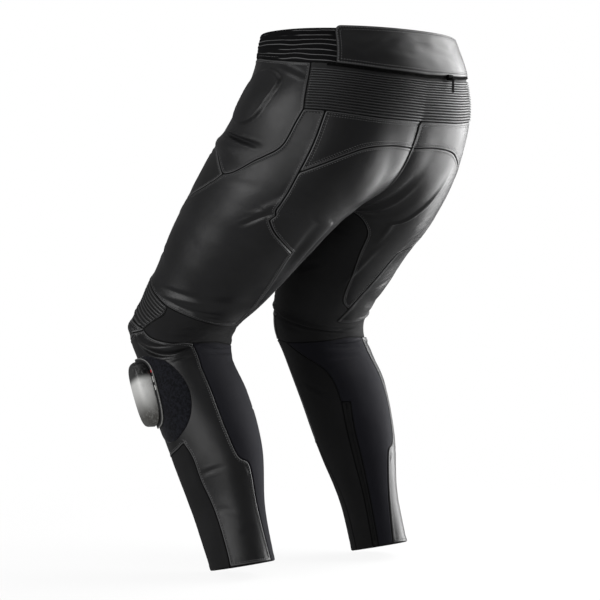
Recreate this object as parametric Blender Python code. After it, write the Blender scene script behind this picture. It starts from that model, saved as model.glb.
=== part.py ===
"""Motorcycle trousers: leather race trousers, empty and filled out in a half-squat pose.

Metres, +Z up. The front looks along -Y and the wearer's left leg is at +X. The origin is
the middle of the waist opening, where the wearer holds the trousers up.

The cut of one side is drawn in two coordinates that follow the cloth: around, which runs
from the inseam (0) over the front, the outside (0.5) and the back to the inseam again (1),
and down, the distance from the waist edge along the outside of the leg. Above the crotch
around = 0 is the centre front seam and around = 1 the centre back seam. Each panel is the
area between named seams, so neighbours share their seam points. The right side is the
mirror of the left.
"""

import math

import bpy
from mathutils import Vector
from mathutils.geometry import delaunay_2d_cdt

MM = 0.001
STILL = Vector((0, 0, 0))

# ---------------------------------------------------------------- driving dimensions

SEAM_GAP = 0.3 * MM            # between two panels at a seam
LEATHER = 1.4 * MM             # wall of a leather panel
STRETCH = 1.2 * MM             # wall of a stretch or textile panel
PANEL_SPACING = 25 * MM        # between the points inside a plain panel
CROTCH_DOWN = 0.250            # where the two legs part
HEM_DOWN = 0.880               # lower edge of the leg
TYPICAL_GIRTH = 0.48           # scales around to metres when a panel is triangulated
CENTRE_CLEARANCE = SEAM_GAP / 2
LONGEST_STEP = 0.7             # two seam points further apart lie on different turns

# Cross-sections of the left side, each a rounded ring in a plane that contains the X
# direction. down: distance along the cloth; x, y, z: middle of the ring; tilt: how far
# its back edge dips, in degrees; turn: toe-out of the ring in its own plane, in degrees;
# outer, inner, front, back: half-widths; square: 2 is an ellipse, more is squarer.
SECTION_COLUMNS = ("down", "x", "y", "z", "tilt", "turn",
                   "outer", "inner", "front", "back", "square")
SECTIONS = {
    "waist":      (0.000, 0.000, 0.000, -0.003, 1.0, 0, 0.150, 0.155, 0.118, 0.111, 2.2),
    "band":       (0.040, 0.000, -0.002, -0.045, -2, 0, 0.159, 0.160, 0.122, 0.132, 2.2),
    "hip":        (0.110, 0.018, -0.018, -0.108, 0, 0, 0.161, 0.155, 0.126, 0.149, 2.2),
    "seat":       (0.180, 0.056, -0.048, -0.168, 10, 0, 0.126, 0.122, 0.129, 0.144, 2.2),
    "crotch":     (0.250, 0.086, -0.084, -0.222, 24, 0, 0.103, 0.086, 0.116, 0.119, 2.1),
    "thigh_high": (0.320, 0.098, -0.124, -0.268, 32, 4, 0.095, 0.084, 0.102, 0.100, 2.1),
    "thigh_mid":  (0.390, 0.108, -0.163, -0.315, 34, 9, 0.088, 0.078, 0.093, 0.090, 2.1),
    "thigh_low":  (0.450, 0.117, -0.196, -0.358, 32, 13, 0.079, 0.075, 0.083, 0.079, 2.1),
    "knee_top":   (0.500, 0.126, -0.220, -0.398, 24, 16, 0.073, 0.070, 0.081, 0.066, 2.1),
    "knee":       (0.540, 0.132, -0.226, -0.435, 6, 18, 0.071, 0.066, 0.088, 0.061, 2.1),
    "knee_low":   (0.580, 0.138, -0.214, -0.470, -8, 18, 0.070, 0.064, 0.078, 0.059, 2.1),
    "shin_top":   (0.640, 0.141, -0.190, -0.525, -14, 18, 0.070, 0.062, 0.068, 0.072, 2.1),
    "calf":       (0.720, 0.141, -0.156, -0.605, -15, 18, 0.059, 0.056, 0.061, 0.074, 2.1),
    "shin_low":   (0.800, 0.140, -0.127, -0.685, -14, 18, 0.043, 0.041, 0.052, 0.058, 2.1),
    "hem":        (0.880, 0.138, -0.101, -0.760, -14, 18, 0.042, 0.040, 0.043, 0.052, 2.1),
}

# Folds pressed into the cloth. around, down: middle of the fold; slant: its direction in
# degrees from level, positive when it falls towards the back; length and width in metres;
# height: outwards, so a trough is negative.
FOLD_COLUMNS = ("around", "down", "slant", "length", "width", "height")
FOLDS = {
    "groin_crease":        (0.440, 0.162, 5, 0.110, 0.015, -0.0035),
    "inner_groin_crease":  (0.180, 0.180, -8, 0.080, 0.013, -0.0040),
    "thigh_drag":          (0.640, 0.430, -20, 0.110, 0.017, -0.0025),
    "knee_back_crease":    (0.760, 0.505, 4, 0.110, 0.010, -0.0045),
    "knee_fold_crease":    (0.800, 0.530, -5, 0.120, 0.010, -0.0050),
    "knee_inner_crease":   (0.960, 0.522, -10, 0.080, 0.011, -0.0035),
    "below_knee_trough":   (0.515, 0.556, 6, 0.080, 0.010, -0.0045),
    "calf_top_crease":     (0.740, 0.566, 6, 0.085, 0.011, -0.0030),
}
FOLD_POINT_SPACING = 16 * MM   # between panel points along a fold
FOLD_SHOULDER = 0.85           # where its side points lie, as a share of its width
FOLD_END = 0.6                 # a fold fades out at this share of its length
FOLD_EDGE = 6 * MM             # its points keep this far from a seam
FOLD_CLEARANCE = 0.6           # and other points this share of a spacing from them
EDGE_CLEARANCE = 0.55          # share of a spacing between a seam and the points inside
RING_CLEARANCE = 0.5           # the same for an outline drawn on a panel

# Corners where seams meet: (around, down) on the left side.
CORNERS = {
    "fly_top": (0.000, 0.000),
    "back_top": (1.000, 0.000),
    "fly_band": (0.000, 0.032),
    "yoke_corner": (0.640, 0.0505),
    "back_band": (1.000, 0.069),
    "yoke_low_corner": (0.656, 0.118),
    "side_top": (0.719, 0.120),
    "back_low_yoke": (1.000, 0.128),
    "hip_point": (0.484, 0.226),
    "fly_end": (0.000, 0.168),
    "yoke_seat": (0.677, 0.195),
    "seat_centre": (1.000, 0.157),
    "side_notch": (0.628, 0.261),
    "side_step": (0.728, 0.305),
    "tongue_tip": (0.748, 0.443),
    "thigh_back_low": (0.757, 0.484),
    "crotch": (1.000, 0.250),
    "knee_inner_top": (0.062, 0.474),
    "knee_front_top": (0.120, 0.474),
    "knee_outer_top": (0.495, 0.479),
    "knee_outer_low": (0.433, 0.529),
    "knee_inner_low": (0.050, 0.524),
    "cap_inner_low": (0.050, 0.553),
    "calf_top": (0.617, 0.540),
    "inner_calf_top": (-0.015, 0.5553),
    "zip_top_front": (0.842, 0.665),
    "zip_top_back": (0.808, 0.667),
    "shin_inner": (0.030, 0.708),
    "shin_outer": (0.484, 0.702),
    "hem_outer_back": (0.748, HEM_DOWN),
    "hem_zip_back": (0.832, HEM_DOWN),
    "hem_zip_front": (0.866, HEM_DOWN),
    "hem_inner": (-0.020, HEM_DOWN),
    "hem_outer_front": (0.526, HEM_DOWN),
}

# Seams between two corners: start, end, number of steps, and the points passed on the
# way. A seam is a smooth curve through its points.
SEAM_COLUMNS = ("start", "end", "steps", "through")
SEAMS = {
    "band_low_side": ("fly_band", "yoke_corner", 13,
                      ((0.20, 0.031), (0.38, 0.032), (0.56, 0.045))),
    "band_low_back": ("yoke_corner", "back_band", 10,
                      ((0.70, 0.054), (0.769, 0.059), (0.872, 0.0655))),
    "yoke_side": ("yoke_corner", "yoke_low_corner", 5, ((0.650, 0.095),)),
    "yoke_low_side": ("yoke_low_corner", "side_top", 2, ()),
    "yoke_low_back": ("side_top", "back_low_yoke", 8, ((0.803, 0.124), (0.886, 0.127))),
    "fly_upper": ("fly_band", "fly_end", 7, ()),
    "fly_lower": ("fly_end", "crotch", 5, ()),
    "hip_back": ("yoke_low_corner", "hip_point", 8,
                 ((0.639, 0.137), (0.614, 0.166), (0.572, 0.183), (0.545, 0.194),
                  (0.503, 0.219))),
    "hip_front_low": ("hip_point", "fly_end", 12,
                      ((0.417, 0.199), (0.344, 0.175), (0.24, 0.160), (0.12, 0.160))),
    "thigh_front": ("hip_point", "knee_front_top", 14,
                    ((0.456, 0.261), (0.414, 0.296), (0.34, 0.352), (0.26, 0.405),
                     (0.18, 0.452))),
    "side_back_high": ("side_top", "yoke_seat", 4, ((0.703, 0.153), (0.686, 0.180))),
    "side_back_mid": ("yoke_seat", "side_notch", 4, ((0.661, 0.221),)),
    "side_back_step": ("side_notch", "side_step", 3, ((0.658, 0.278),)),
    "side_back_low": ("side_step", "tongue_tip", 7, ((0.736, 0.362), (0.745, 0.418))),
    "thigh_back_end": ("tongue_tip", "thigh_back_low", 2, ()),
    "seat_top": ("yoke_seat", "seat_centre", 9,
                 ((0.742, 0.180), (0.800, 0.168), (0.850, 0.160), (0.92, 0.1565))),
    "centre_yoke": ("back_low_yoke", "seat_centre", 2, ()),
    "centre_seat": ("seat_centre", "crotch", 6, ()),
    "insert_back": ("crotch", "tongue_tip", 14,
                    ((0.950, 0.2510), (0.897, 0.256), (0.861, 0.272), (0.844, 0.293),
                     (0.819, 0.345), (0.797, 0.404), (0.778, 0.430))),
    "insert_front": ("crotch", "knee_inner_top", 11,
                     ((0.045, 0.262), (0.075, 0.300), (0.078, 0.360), (0.070, 0.420))),
    "knee_top_inner": ("knee_inner_top", "knee_front_top", 1, ()),
    "knee_top_outer": ("knee_front_top", "knee_outer_top", 8,
                       ((0.22, 0.470), (0.33, 0.472), (0.42, 0.475))),
    "thigh_low_edge": ("knee_outer_top", "thigh_back_low", 6,
                       ((0.583, 0.477), (0.661, 0.480))),
    "knee_outer_side": ("knee_outer_top", "knee_outer_low", 3,
                        ((0.492, 0.495), (0.465, 0.512))),
    "knee_inner_side": ("knee_inner_top", "knee_inner_low", 3, ()),
    "cap_top": ("knee_inner_low", "knee_outer_low", 9,
                ((0.15, 0.520), (0.24, 0.518), (0.342, 0.521))),
    "cap_inner_side": ("knee_inner_low", "cap_inner_low", 2, ()),
    "cap_low": ("cap_inner_low", "knee_outer_low", 9,
                ((0.15, 0.553), (0.25, 0.553), (0.35, 0.547), (0.41, 0.536))),
    "band_low_knee": ("knee_outer_low", "calf_top", 5, ((0.472, 0.539), (0.530, 0.543))),
    "knee_back_low": ("calf_top", "inner_calf_top", 9,
                      ((0.70, 0.537), (0.775, 0.547), (0.86, 0.553), (0.93, 0.555))),
    "knee_inner_back": ("inner_calf_top", "cap_inner_low", 2, ()),
    "calf_outer": ("calf_top", "hem_outer_back", 20,
                   ((0.634, 0.576), (0.633, 0.605), (0.631, 0.639), (0.633, 0.690),
                    (0.650, 0.730), (0.688, 0.741), (0.700, 0.754), (0.712, 0.786),
                    (0.730, 0.829))),
    "calf_inner": ("inner_calf_top", "zip_top_front", 8,
                   ((0.93, 0.575), (0.862, 0.604), (0.842, 0.630))),
    "zip_top": ("zip_top_front", "zip_top_back", 1, ()),
    "zip_front": ("zip_top_front", "hem_zip_front", 10,
                  ((0.856, 0.705), (0.863, 0.751), (0.864, 0.793), (0.866, 0.830))),
    "zip_back": ("zip_top_back", "hem_zip_back", 10,
                 ((0.824, 0.705), (0.828, 0.751), (0.830, 0.793), (0.832, 0.830))),
    "shin_inner_high": ("cap_inner_low", "shin_inner", 7, ((0.04, 0.600), (0.03, 0.660))),
    "shin_inner_low": ("shin_inner", "hem_inner", 8, ((0.020, 0.750), (0.000, 0.800))),
    "shin_top_edge": ("shin_inner", "shin_outer", 9,
                      ((0.15, 0.712), (0.28, 0.714), (0.386, 0.711), (0.44, 0.708))),
    "shin_outer_edge": ("shin_outer", "hem_outer_front", 9,
                        ((0.499, 0.723), (0.500, 0.755), (0.511, 0.788), (0.519, 0.822),
                         (0.525, 0.858))),
    "hem_outer": ("hem_outer_front", "hem_outer_back", 5, ()),
    "hem_calf": ("hem_outer_back", "hem_zip_back", 2, ()),
    "hem_zip": ("hem_zip_back", "hem_zip_front", 1, ()),
    "hem_inner_part": ("hem_zip_front", "hem_inner", 3, ()),
    "hem_front": ("hem_inner", "hem_outer_front", 9, ()),
}

# These end at the crotch from the front, where around is 0 instead of 1.
MEETS_CROTCH_IN_FRONT = ("fly_lower", "insert_front")

# Plain panels: the seams round each one in order, where a minus sign runs a seam
# backwards; wall; and the value of around below which points belong to the next turn.
NO_WRAP = -1.0
INNER_WRAP = 0.3
PANEL_COLUMNS = ("seams", "wall", "wrap", "material")
CAP_SPACING = 15 * MM          # finer points round the knee cap
PANELS = {
    "hip_front": (("band_low_side", "yoke_side", "hip_back", "hip_front_low",
                   "-fly_upper"), LEATHER, NO_WRAP, "leather"),
    "front_thigh": (("-hip_front_low", "thigh_front", "-knee_top_inner",
                     "-insert_front", "-fly_lower"), LEATHER, NO_WRAP, "leather"),
    "outer_thigh": (("yoke_low_side", "side_back_high", "side_back_mid",
                     "side_back_step", "side_back_low", "thigh_back_end",
                     "-thigh_low_edge", "-knee_top_outer", "-thigh_front", "-hip_back"),
                    LEATHER, NO_WRAP, "leather"),
    "back_yoke": (("yoke_low_back", "centre_yoke", "-seat_top", "-side_back_high"),
                  LEATHER, NO_WRAP, "leather"),
    "seat_thigh": (("seat_top", "centre_seat", "insert_back", "-side_back_low",
                    "-side_back_step", "-side_back_mid"), LEATHER, NO_WRAP, "leather"),
    "stretch_insert": (("-insert_back", "insert_front", "knee_inner_side",
                        "cap_inner_side", "-knee_inner_back", "-knee_back_low",
                        "-band_low_knee", "-knee_outer_side", "thigh_low_edge",
                        "-thigh_back_end"), STRETCH, INNER_WRAP, "stretch"),
    "knee_cap": (("cap_top", "-cap_low", "-cap_inner_side"), LEATHER, NO_WRAP, "leather"),
    "outer_shin": (("cap_low", "band_low_knee", "calf_outer", "-hem_outer",
                    "-shin_outer_edge", "-shin_top_edge", "-shin_inner_high"),
                   LEATHER, NO_WRAP, "leather"),
    "front_shin": (("shin_top_edge", "shin_outer_edge", "-hem_front",
                    "-shin_inner_low"), STRETCH, NO_WRAP, "textile"),
    "calf_stretch": (("knee_back_low", "calf_inner", "zip_top", "zip_back",
                      "-hem_calf", "-calf_outer"), STRETCH, INNER_WRAP, "knit"),
    "inner_shin": (("knee_inner_back", "shin_inner_high", "shin_inner_low",
                    "-hem_inner_part", "-zip_front", "-calf_inner"),
                   STRETCH, INNER_WRAP, "textile"),
    "ankle_zip": (("-zip_top", "zip_front", "-hem_zip", "-zip_back"),
                  STRETCH, NO_WRAP, "zip_tape"),
}

# The raised hip protector under the hip leather: its outline and how far it stands out.
PAD_OUTLINE = ((0.505, 0.056), (0.550, 0.074), (0.534, 0.103), (0.512, 0.126),
               (0.478, 0.137), (0.415, 0.135), (0.372, 0.116), (0.366, 0.082),
               (0.405, 0.059), (0.455, 0.053))
PAD_HEIGHT = 3.0 * MM
PAD_SIDES = 20
PAD_FOOT = 1.08                # size of the slope's foot against the outline
PAD_SHOULDER = 0.86            # size of the raised top against the outline

# Gathers and ribs
WAIST_GATHERS = 6
GATHER_HEIGHT = 1.5 * MM
GATHER_UNEVEN = 0.15           # share by which a gather's height varies
GATHER_FADE = (0.730, 0.765)   # the gathers run out under the kidney flap
BACK_RIBS = 16
BACK_RIB_HEIGHT = 1.3 * MM
PLAIN_ABOVE_RIBS = 2           # rib widths left flat under the jacket zip
END_COLUMN = 0.12              # ribs run out over this share of their last span
KNEE_RIBS = 10
KNEE_RIB_HEIGHT = 1.3 * MM
KNEE_BULGE = 5.0 * MM          # the knee cap stands out over the protector
KNEE_BULGE_PLACE = (0.26, 0.535)
KNEE_BULGE_REACH = (0.30, 0.036)

# Kidney flap, jacket zip and centre strips (offsets from the cloth's outer face)
FLAP_START = 0.722
FLAP_RISE = 2.0 * MM           # its top edge stands above the waist edge
FLAP_DROP = 3.5 * MM           # its lower edge ends this far above the yoke seam
FLAP_OFFSET = 1.9 * MM
FLAP_WALL = 2.0 * MM
ZIP_START = 0.655
ZIP_ABOVE = 3.0 * MM
ZIP_BELOW = 5.0 * MM
ZIP_OFFSET = 0.4 * MM
ZIP_WALL = 1.3 * MM
STRIP_WIDTH = 6.0 * MM         # felled strip over the centre back seam
STRIP_DOWN = (0.1292, 0.228)
STRIP_OFFSET = 0.8 * MM
STRIP_WALL = 1.1 * MM
FLY_WIDTH = 34.0 * MM
FLY_DOWN = (0.001, 0.160)
FLY_OFFSET = 1.3 * MM
FLY_WALL = 1.3 * MM
STRIP_STEP = 14 * MM           # between the points along a strip
SNAP_DOWN = 0.015
SNAP_RADIUS = 7.5 * MM
SNAP_THICKNESS = 2.0 * MM
SNAP_LIFT = 0.5 * MM
SNAP_SIDES = 20

# Loop patch and knee slider, on the outer front of the shin just below the knee
PATCH_CENTRE = (0.430, 0.632)
PATCH_RADII = (0.131, 0.064)   # around, down
PATCH_SIDES = 22
PATCH_OFFSET = 0.3 * MM
PATCH_WALL = 1.1 * MM
PATCH_SPACING = 18 * MM
SLIDER_CENTRE = (0.376, 0.621)
SLIDER_SIZE = (62 * MM, 94 * MM)
SLIDER_SIDES = 28
SLIDER_SQUARE = 3.4            # roundness of its outline, 2 is an ellipse
BASE_MARGIN = 3.5 * MM
BASE_OFFSET = 2.3 * MM
BASE_WALL = 2.2 * MM
PUCK_OFFSET = BASE_OFFSET + BASE_WALL + 0.4 * MM
PUCK_HEIGHT = 15 * MM
SLIDER_TAPER = 0.07            # the outline is this share narrower at its lower end
SLIDER_FILL = (0.33, 0.66)     # sizes of the rings inside the outline
PUCK_CROWN = (0.11, 0.16)      # metres across and down over which the face falls away
PUCK_HIDDEN_EDGE = 0.96        # size of its underside
# Rings of the puck: size against the outline, share of its height, and how flat the
# ring is, from 0 (follows the shin) to 1 (a plane)
PUCK_RINGS = ((1.00, 0.10, 0.15), (1.00, 0.62, 0.80), (0.94, 0.86, 1.00),
              (0.80, 0.98, 1.00), (0.40, 1.00, 1.00))

# Zip slider and pull tab, parked to the right of the centre back
ZIP_SLIDER_AROUND = 1.075      # past 1 is on the right side
ZIP_SLIDER_LIFT = 2.2 * MM     # underside above the cloth
ZIP_SLIDER_SIZE = (12.0 * MM, 3.4 * MM, 8.0 * MM)
PULL_PIN_RADIUS = 0.7 * MM
PULL_EYE_HOLE = 1.05 * MM
PULL_EYE_RADIUS = 1.9 * MM
PULL_WIDTH = 4.6 * MM
PULL_THICKNESS = 1.2 * MM
PULL_LENGTH = 19.0 * MM
PULL_HOLE_RADIUS = 1.2 * MM
LUG_THICKNESS = 1.2 * MM
LUG_GAP = 0.4 * MM
LUG_REACH = 1.3 * MM           # of a lug round the pin
PULL_HOLE_FROM_END = 2.6 * MM
PULL_STANDOFF = 3.4 * MM       # the pin in front of the slider's face

# Colour, roughness and metallic value of each finish
FINISHES = {
    "leather": ((0.020, 0.020, 0.021, 1), 0.42, 0.0),
    "stretch": ((0.012, 0.012, 0.014, 1), 0.85, 0.0),
    "textile": ((0.012, 0.012, 0.013, 1), 0.80, 0.0),
    "knit": ((0.016, 0.016, 0.022, 1), 0.88, 0.0),
    "zip_tape": ((0.012, 0.012, 0.012, 1), 0.75, 0.0),
    "loop": ((0.008, 0.009, 0.014, 1), 0.95, 0.0),
    "slider_plastic": ((0.30, 0.30, 0.29, 1), 0.35, 0.25),
    "base_plastic": ((0.015, 0.015, 0.016, 1), 0.55, 0.0),
    "dark_metal": ((0.06, 0.06, 0.06, 1), 0.35, 0.9),
}


# ---------------------------------------------------------------- the cloth's surface

def section_value(column, down):
    """Return one column of SECTIONS at a distance down, on a smooth curve."""
    rows = [dict(zip(SECTION_COLUMNS, row)) for row in SECTIONS.values()]
    places = [row["down"] for row in rows]
    values = [row[column] for row in rows]
    down = min(max(down, places[0]), places[-1])
    last = len(rows) - 1
    k = 0
    while k < last - 1 and down > places[k + 1]:
        k += 1

    def slope(i):
        if i == 0:
            return (values[1] - values[0]) / (places[1] - places[0])
        if i == last:
            return (values[last] - values[last - 1]) / (places[last] - places[last - 1])
        before, after = places[i] - places[i - 1], places[i + 1] - places[i]
        rise_before = (values[i] - values[i - 1]) / before
        rise_after = (values[i + 1] - values[i]) / after
        return (rise_before * after + rise_after * before) / (before + after)

    step = places[k + 1] - places[k]
    u = (down - places[k]) / step
    return ((1 + 2 * u) * (1 - u) ** 2 * values[k] + u * (1 - u) ** 2 * step * slope(k)
            + u * u * (3 - 2 * u) * values[k + 1] + u * u * (u - 1) * step * slope(k + 1))


SECTION_CACHE = {}


def section_at(down):
    """Return every section value at a distance down, as a dict."""
    key = round(down, 6)
    if key not in SECTION_CACHE:
        SECTION_CACHE[key] = {c: section_value(c, key) for c in SECTION_COLUMNS[1:]}
    return SECTION_CACHE[key]


def smooth_curve(x, exponent):
    """Return x to a power, keeping its sign."""
    return math.copysign(abs(x) ** exponent, x)


def plain_point(around, down):
    """Return the cloth's outer face on the left side, without folds."""
    ring = section_at(down)
    exponent = 2 / ring["square"]
    share = min(max(ring["x"] / ring["inner"], 0), 1)
    # above the crotch the ring ends where it meets the centre plane
    opening = math.acos(share ** (1 / exponent)) if down < CROTCH_DOWN else 0.0
    if down >= CROTCH_DOWN:
        around = around % 1.0 if not 0 <= around <= 1 else around
    angle = (2 * around - 1) * (math.pi - opening)
    across, along = math.cos(angle), math.sin(angle)
    p = (ring["outer"] if across > 0 else ring["inner"]) * smooth_curve(across, exponent)
    q = (ring["back"] if along > 0 else ring["front"]) * smooth_curve(along, exponent)
    turn, tilt = math.radians(ring["turn"]), math.radians(ring["tilt"])
    p, q = (p * math.cos(turn) - q * math.sin(turn),
            p * math.sin(turn) + q * math.cos(turn))
    return Vector((ring["x"] + p, ring["y"] + q * math.cos(tilt),
                   ring["z"] - q * math.sin(tilt)))


def directions(around, down):
    """Return unit vectors around, down and outwards on the left side's cloth."""
    step_around, step_down = 0.004, 0.002
    if down < CROTCH_DOWN:
        a0, a1 = max(around - step_around, 0.0), min(around + step_around, 1.0)
    else:
        a0, a1 = around - step_around, around + step_around
    d0, d1 = max(down - step_down, 0.0), min(down + step_down, HEM_DOWN)
    if d0 < CROTCH_DOWN < d1:
        if down < CROTCH_DOWN:
            d1 = CROTCH_DOWN
        else:
            d0 = CROTCH_DOWN
    level = (plain_point(a1, down) - plain_point(a0, down)).normalized()
    fall = plain_point(around, d1) - plain_point(around, d0)
    outward = fall.cross(level).normalized()
    fall = level.cross(outward).normalized()
    return level, fall, outward


def bell(x):
    """Return a smooth bump that is 1 at 0 and 0 beyond 1."""
    return (1 - x * x) ** 2 if abs(x) < 1 else 0.0


def fold_height(around, down):
    """Return how far the folds move the cloth outwards at a point."""
    height = 0.0
    for row in FOLDS.values():
        fold = dict(zip(FOLD_COLUMNS, row))
        shift = around - fold["around"]
        if down > CROTCH_DOWN:
            shift = (shift + 0.5) % 1.0 - 0.5
        a, d = shift * TYPICAL_GIRTH, down - fold["down"]
        slant = math.radians(fold["slant"])
        along = a * math.cos(slant) + d * math.sin(slant)
        side = -a * math.sin(slant) + d * math.cos(slant)
        height += fold["height"] * bell(along / (FOLD_END * fold["length"])) * bell(
            side / fold["width"])
    # over the knee cap the protector pushes the cloth out
    knee = (bell((around - KNEE_BULGE_PLACE[0]) / KNEE_BULGE_REACH[0])
            * bell((down - KNEE_BULGE_PLACE[1]) / KNEE_BULGE_REACH[1]))
    return height + KNEE_BULGE * knee


def cloth_point(around, down, outwards=0.0):
    """Return a point of the cloth with its folds, moved outwards, on either side.

    around from 0 to 1 is the left side; above the crotch 1 to 2 is the right side's
    mirror, counted on past the centre back seam, and below 0 past the centre front.
    """
    mirrored = down < CROTCH_DOWN and not 0 <= around <= 1
    if mirrored:
        around = 2 - around if around > 1 else -around
    centre_line = down < CROTCH_DOWN and around in (0.0, 1.0)
    outward = directions(around, down)[2]
    if centre_line:
        outward.x = 0.0
        outward.normalize()
    point = plain_point(around, down) + outward * (fold_height(around, down) + outwards)
    if mirrored:
        point.x = -point.x
    return point


def panel_point(around, down, outwards, inset):
    """Return a left panel's point, kept clear of the centre plane."""
    outward = directions(around, down)[2]
    point = plain_point(around, down) + outward * (fold_height(around, down) + outwards)
    point += inset
    point.x = max(point.x, CENTRE_CLEARANCE)
    return point


# ---------------------------------------------------------------- seams and outlines

def through_points(points, steps):
    """Return steps + 1 points evenly spaced on a smooth curve through some points."""
    if len(points) == 2:
        (a0, d0), (a1, d1) = points
        return [(a0 + (a1 - a0) * k / steps, d0 + (d1 - d0) * k / steps)
                for k in range(steps + 1)]
    fine, per_span = [], 12
    for i in range(len(points) - 1):
        before = points[i - 1] if i else points[i]
        after = points[i + 2] if i + 2 < len(points) else points[i + 1]
        for k in range(per_span):
            u = k / per_span
            fine.append(tuple(
                0.5 * (2 * points[i][c] + (points[i + 1][c] - before[c]) * u
                       + (2 * before[c] - 5 * points[i][c] + 4 * points[i + 1][c]
                          - after[c]) * u * u
                       + (3 * points[i][c] - before[c] - 3 * points[i + 1][c]
                          + after[c]) * u ** 3)
                for c in (0, 1)))
    fine.append(points[-1])
    return evenly_spaced(fine, steps)


def evenly_spaced(fine, steps):
    """Return steps + 1 points at even distances along a fine polyline."""
    lengths = [0.0]
    for one, two in zip(fine, fine[1:]):
        lengths.append(lengths[-1] + math.hypot((two[0] - one[0]) * TYPICAL_GIRTH,
                                                two[1] - one[1]))
    result, k = [fine[0]], 0
    for step in range(1, steps):
        wanted = lengths[-1] * step / steps
        while lengths[k + 1] < wanted:
            k += 1
        u = (wanted - lengths[k]) / (lengths[k + 1] - lengths[k])
        result.append(tuple(fine[k][c] + (fine[k + 1][c] - fine[k][c]) * u
                            for c in (0, 1)))
    return result + [fine[-1]]


def near_turn(point, reference):
    """Return a point with around moved by whole turns to lie near a reference."""
    around, down = point
    if down >= CROTCH_DOWN and abs(around - reference) > LONGEST_STEP:
        around -= round(around - reference)
    return (around, down)


def seam_points(name):
    """Return the points of a seam, from its start corner to its end corner."""
    seam = dict(zip(SEAM_COLUMNS, SEAMS[name]))
    points = [CORNERS[seam["start"]]]
    for point in seam["through"] + (CORNERS[seam["end"]],):
        points.append(near_turn(point, points[-1][0]))
    if name in MEETS_CROTCH_IN_FRONT:
        given = (CORNERS[seam["start"]],) + seam["through"] + (CORNERS[seam["end"]],)
        points = [(0.0, d) if (a, d) == CORNERS["crotch"] else (a, d) for a, d in given]
    return through_points(points, seam["steps"])


def outline(seams, wrap):
    """Return the closed outline of a panel as a list of (around, down)."""
    loop = []
    for name in seams:
        points = seam_points(name.lstrip("-"))
        if name.startswith("-"):
            points = points[::-1]
        loop += [(a + 1 if a < wrap else a, d) for a, d in points[:-1]]
    return loop


def metric(point):
    """Return a point of the cut in metres, for triangulating."""
    return Vector((point[0] * TYPICAL_GIRTH, point[1]))


def inside(point, loop):
    """Return whether a metric point lies inside a metric loop."""
    result = False
    for one, two in zip(loop, loop[1:] + loop[:1]):
        if (one.y > point.y) != (two.y > point.y):
            crossing = one.x + (point.y - one.y) / (two.y - one.y) * (two.x - one.x)
            if point.x < crossing:
                result = not result
    return result


def distance_to_loop(point, loop):
    """Return the distance from a metric point to a metric loop."""
    best = math.inf
    for one, two in zip(loop, loop[1:] + loop[:1]):
        edge = two - one
        u = min(max((point - one).dot(edge) / max(edge.length_squared, 1e-18), 0), 1)
        best = min(best, (point - one - edge * u).length)
    return best


def lattice(loop, spacing, avoid=()):
    """Return points on a staggered lattice inside a loop, clear of its edge."""
    flat = [metric(p) for p in loop]
    obstacles = [[metric(p) for p in other] for other in avoid]
    low_x, high_x = min(p.x for p in flat), max(p.x for p in flat)
    low_y, high_y = min(p.y for p in flat), max(p.y for p in flat)
    points, row, y = [], 0, low_y + spacing / 2
    while y < high_y:
        x = low_x + spacing * (0.5 if row % 2 else 1.0)
        while x < high_x:
            point = Vector((x, y))
            clear = all(distance_to_loop(point, other) > RING_CLEARANCE * spacing
                        for other in obstacles)
            if clear and inside(point, flat) and distance_to_loop(
                    point, flat) > EDGE_CLEARANCE * spacing:
                points.append((x / TYPICAL_GIRTH, y))
            x += spacing
        y += spacing * 0.87
        row += 1
    return points


def fold_points(loop, wrap):
    """Return panel points along the middle and both sides of each fold in a loop."""
    flat = [metric(p) for p in loop]
    points = []
    for row in FOLDS.values():
        fold = dict(zip(FOLD_COLUMNS, row))
        around = fold["around"] + (1 if fold["around"] < wrap else 0)
        slant = math.radians(fold["slant"])
        steps = round(fold["length"] / FOLD_POINT_SPACING)
        for side in (-1, 0, 1):
            reach = side * FOLD_SHOULDER * fold["width"]
            for k in range(steps + 1):
                along = fold["length"] * (k / steps - 0.5)
                a = (along * math.cos(slant) - reach * math.sin(slant)) / TYPICAL_GIRTH
                d = along * math.sin(slant) + reach * math.cos(slant)
                point = (around + a, fold["down"] + d)
                spot = metric(point)
                if inside(spot, flat) and distance_to_loop(spot, flat) > FOLD_EDGE:
                    points.append(point)
    return points


def clear_of(points, others, distance):
    """Return the points that are at least a distance from all the others."""
    far = [metric(p) for p in others]
    return [p for p in points
            if all((metric(p) - other).length > distance for other in far)]


def triangulate(loop, interior, rings=()):
    """Return points and triangles that fill a loop; the loop's own points come first."""
    points = list(loop)
    edges = [(k, (k + 1) % len(loop)) for k in range(len(loop))]
    for ring in rings:
        first = len(points)
        points += ring
        edges += [(first + k, first + (k + 1) % len(ring)) for k in range(len(ring))]
    points += interior
    flat = [metric(p) for p in points]
    found = delaunay_2d_cdt(flat, edges, [], 1, 1e-7)
    if len(found[0]) != len(points):
        raise ValueError("a seam crosses another")
    origin = [group[0] for group in found[3]]
    triangles = [tuple(origin[v] for v in face) for face in found[2]]
    return points, triangles


# ---------------------------------------------------------------- solids

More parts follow.
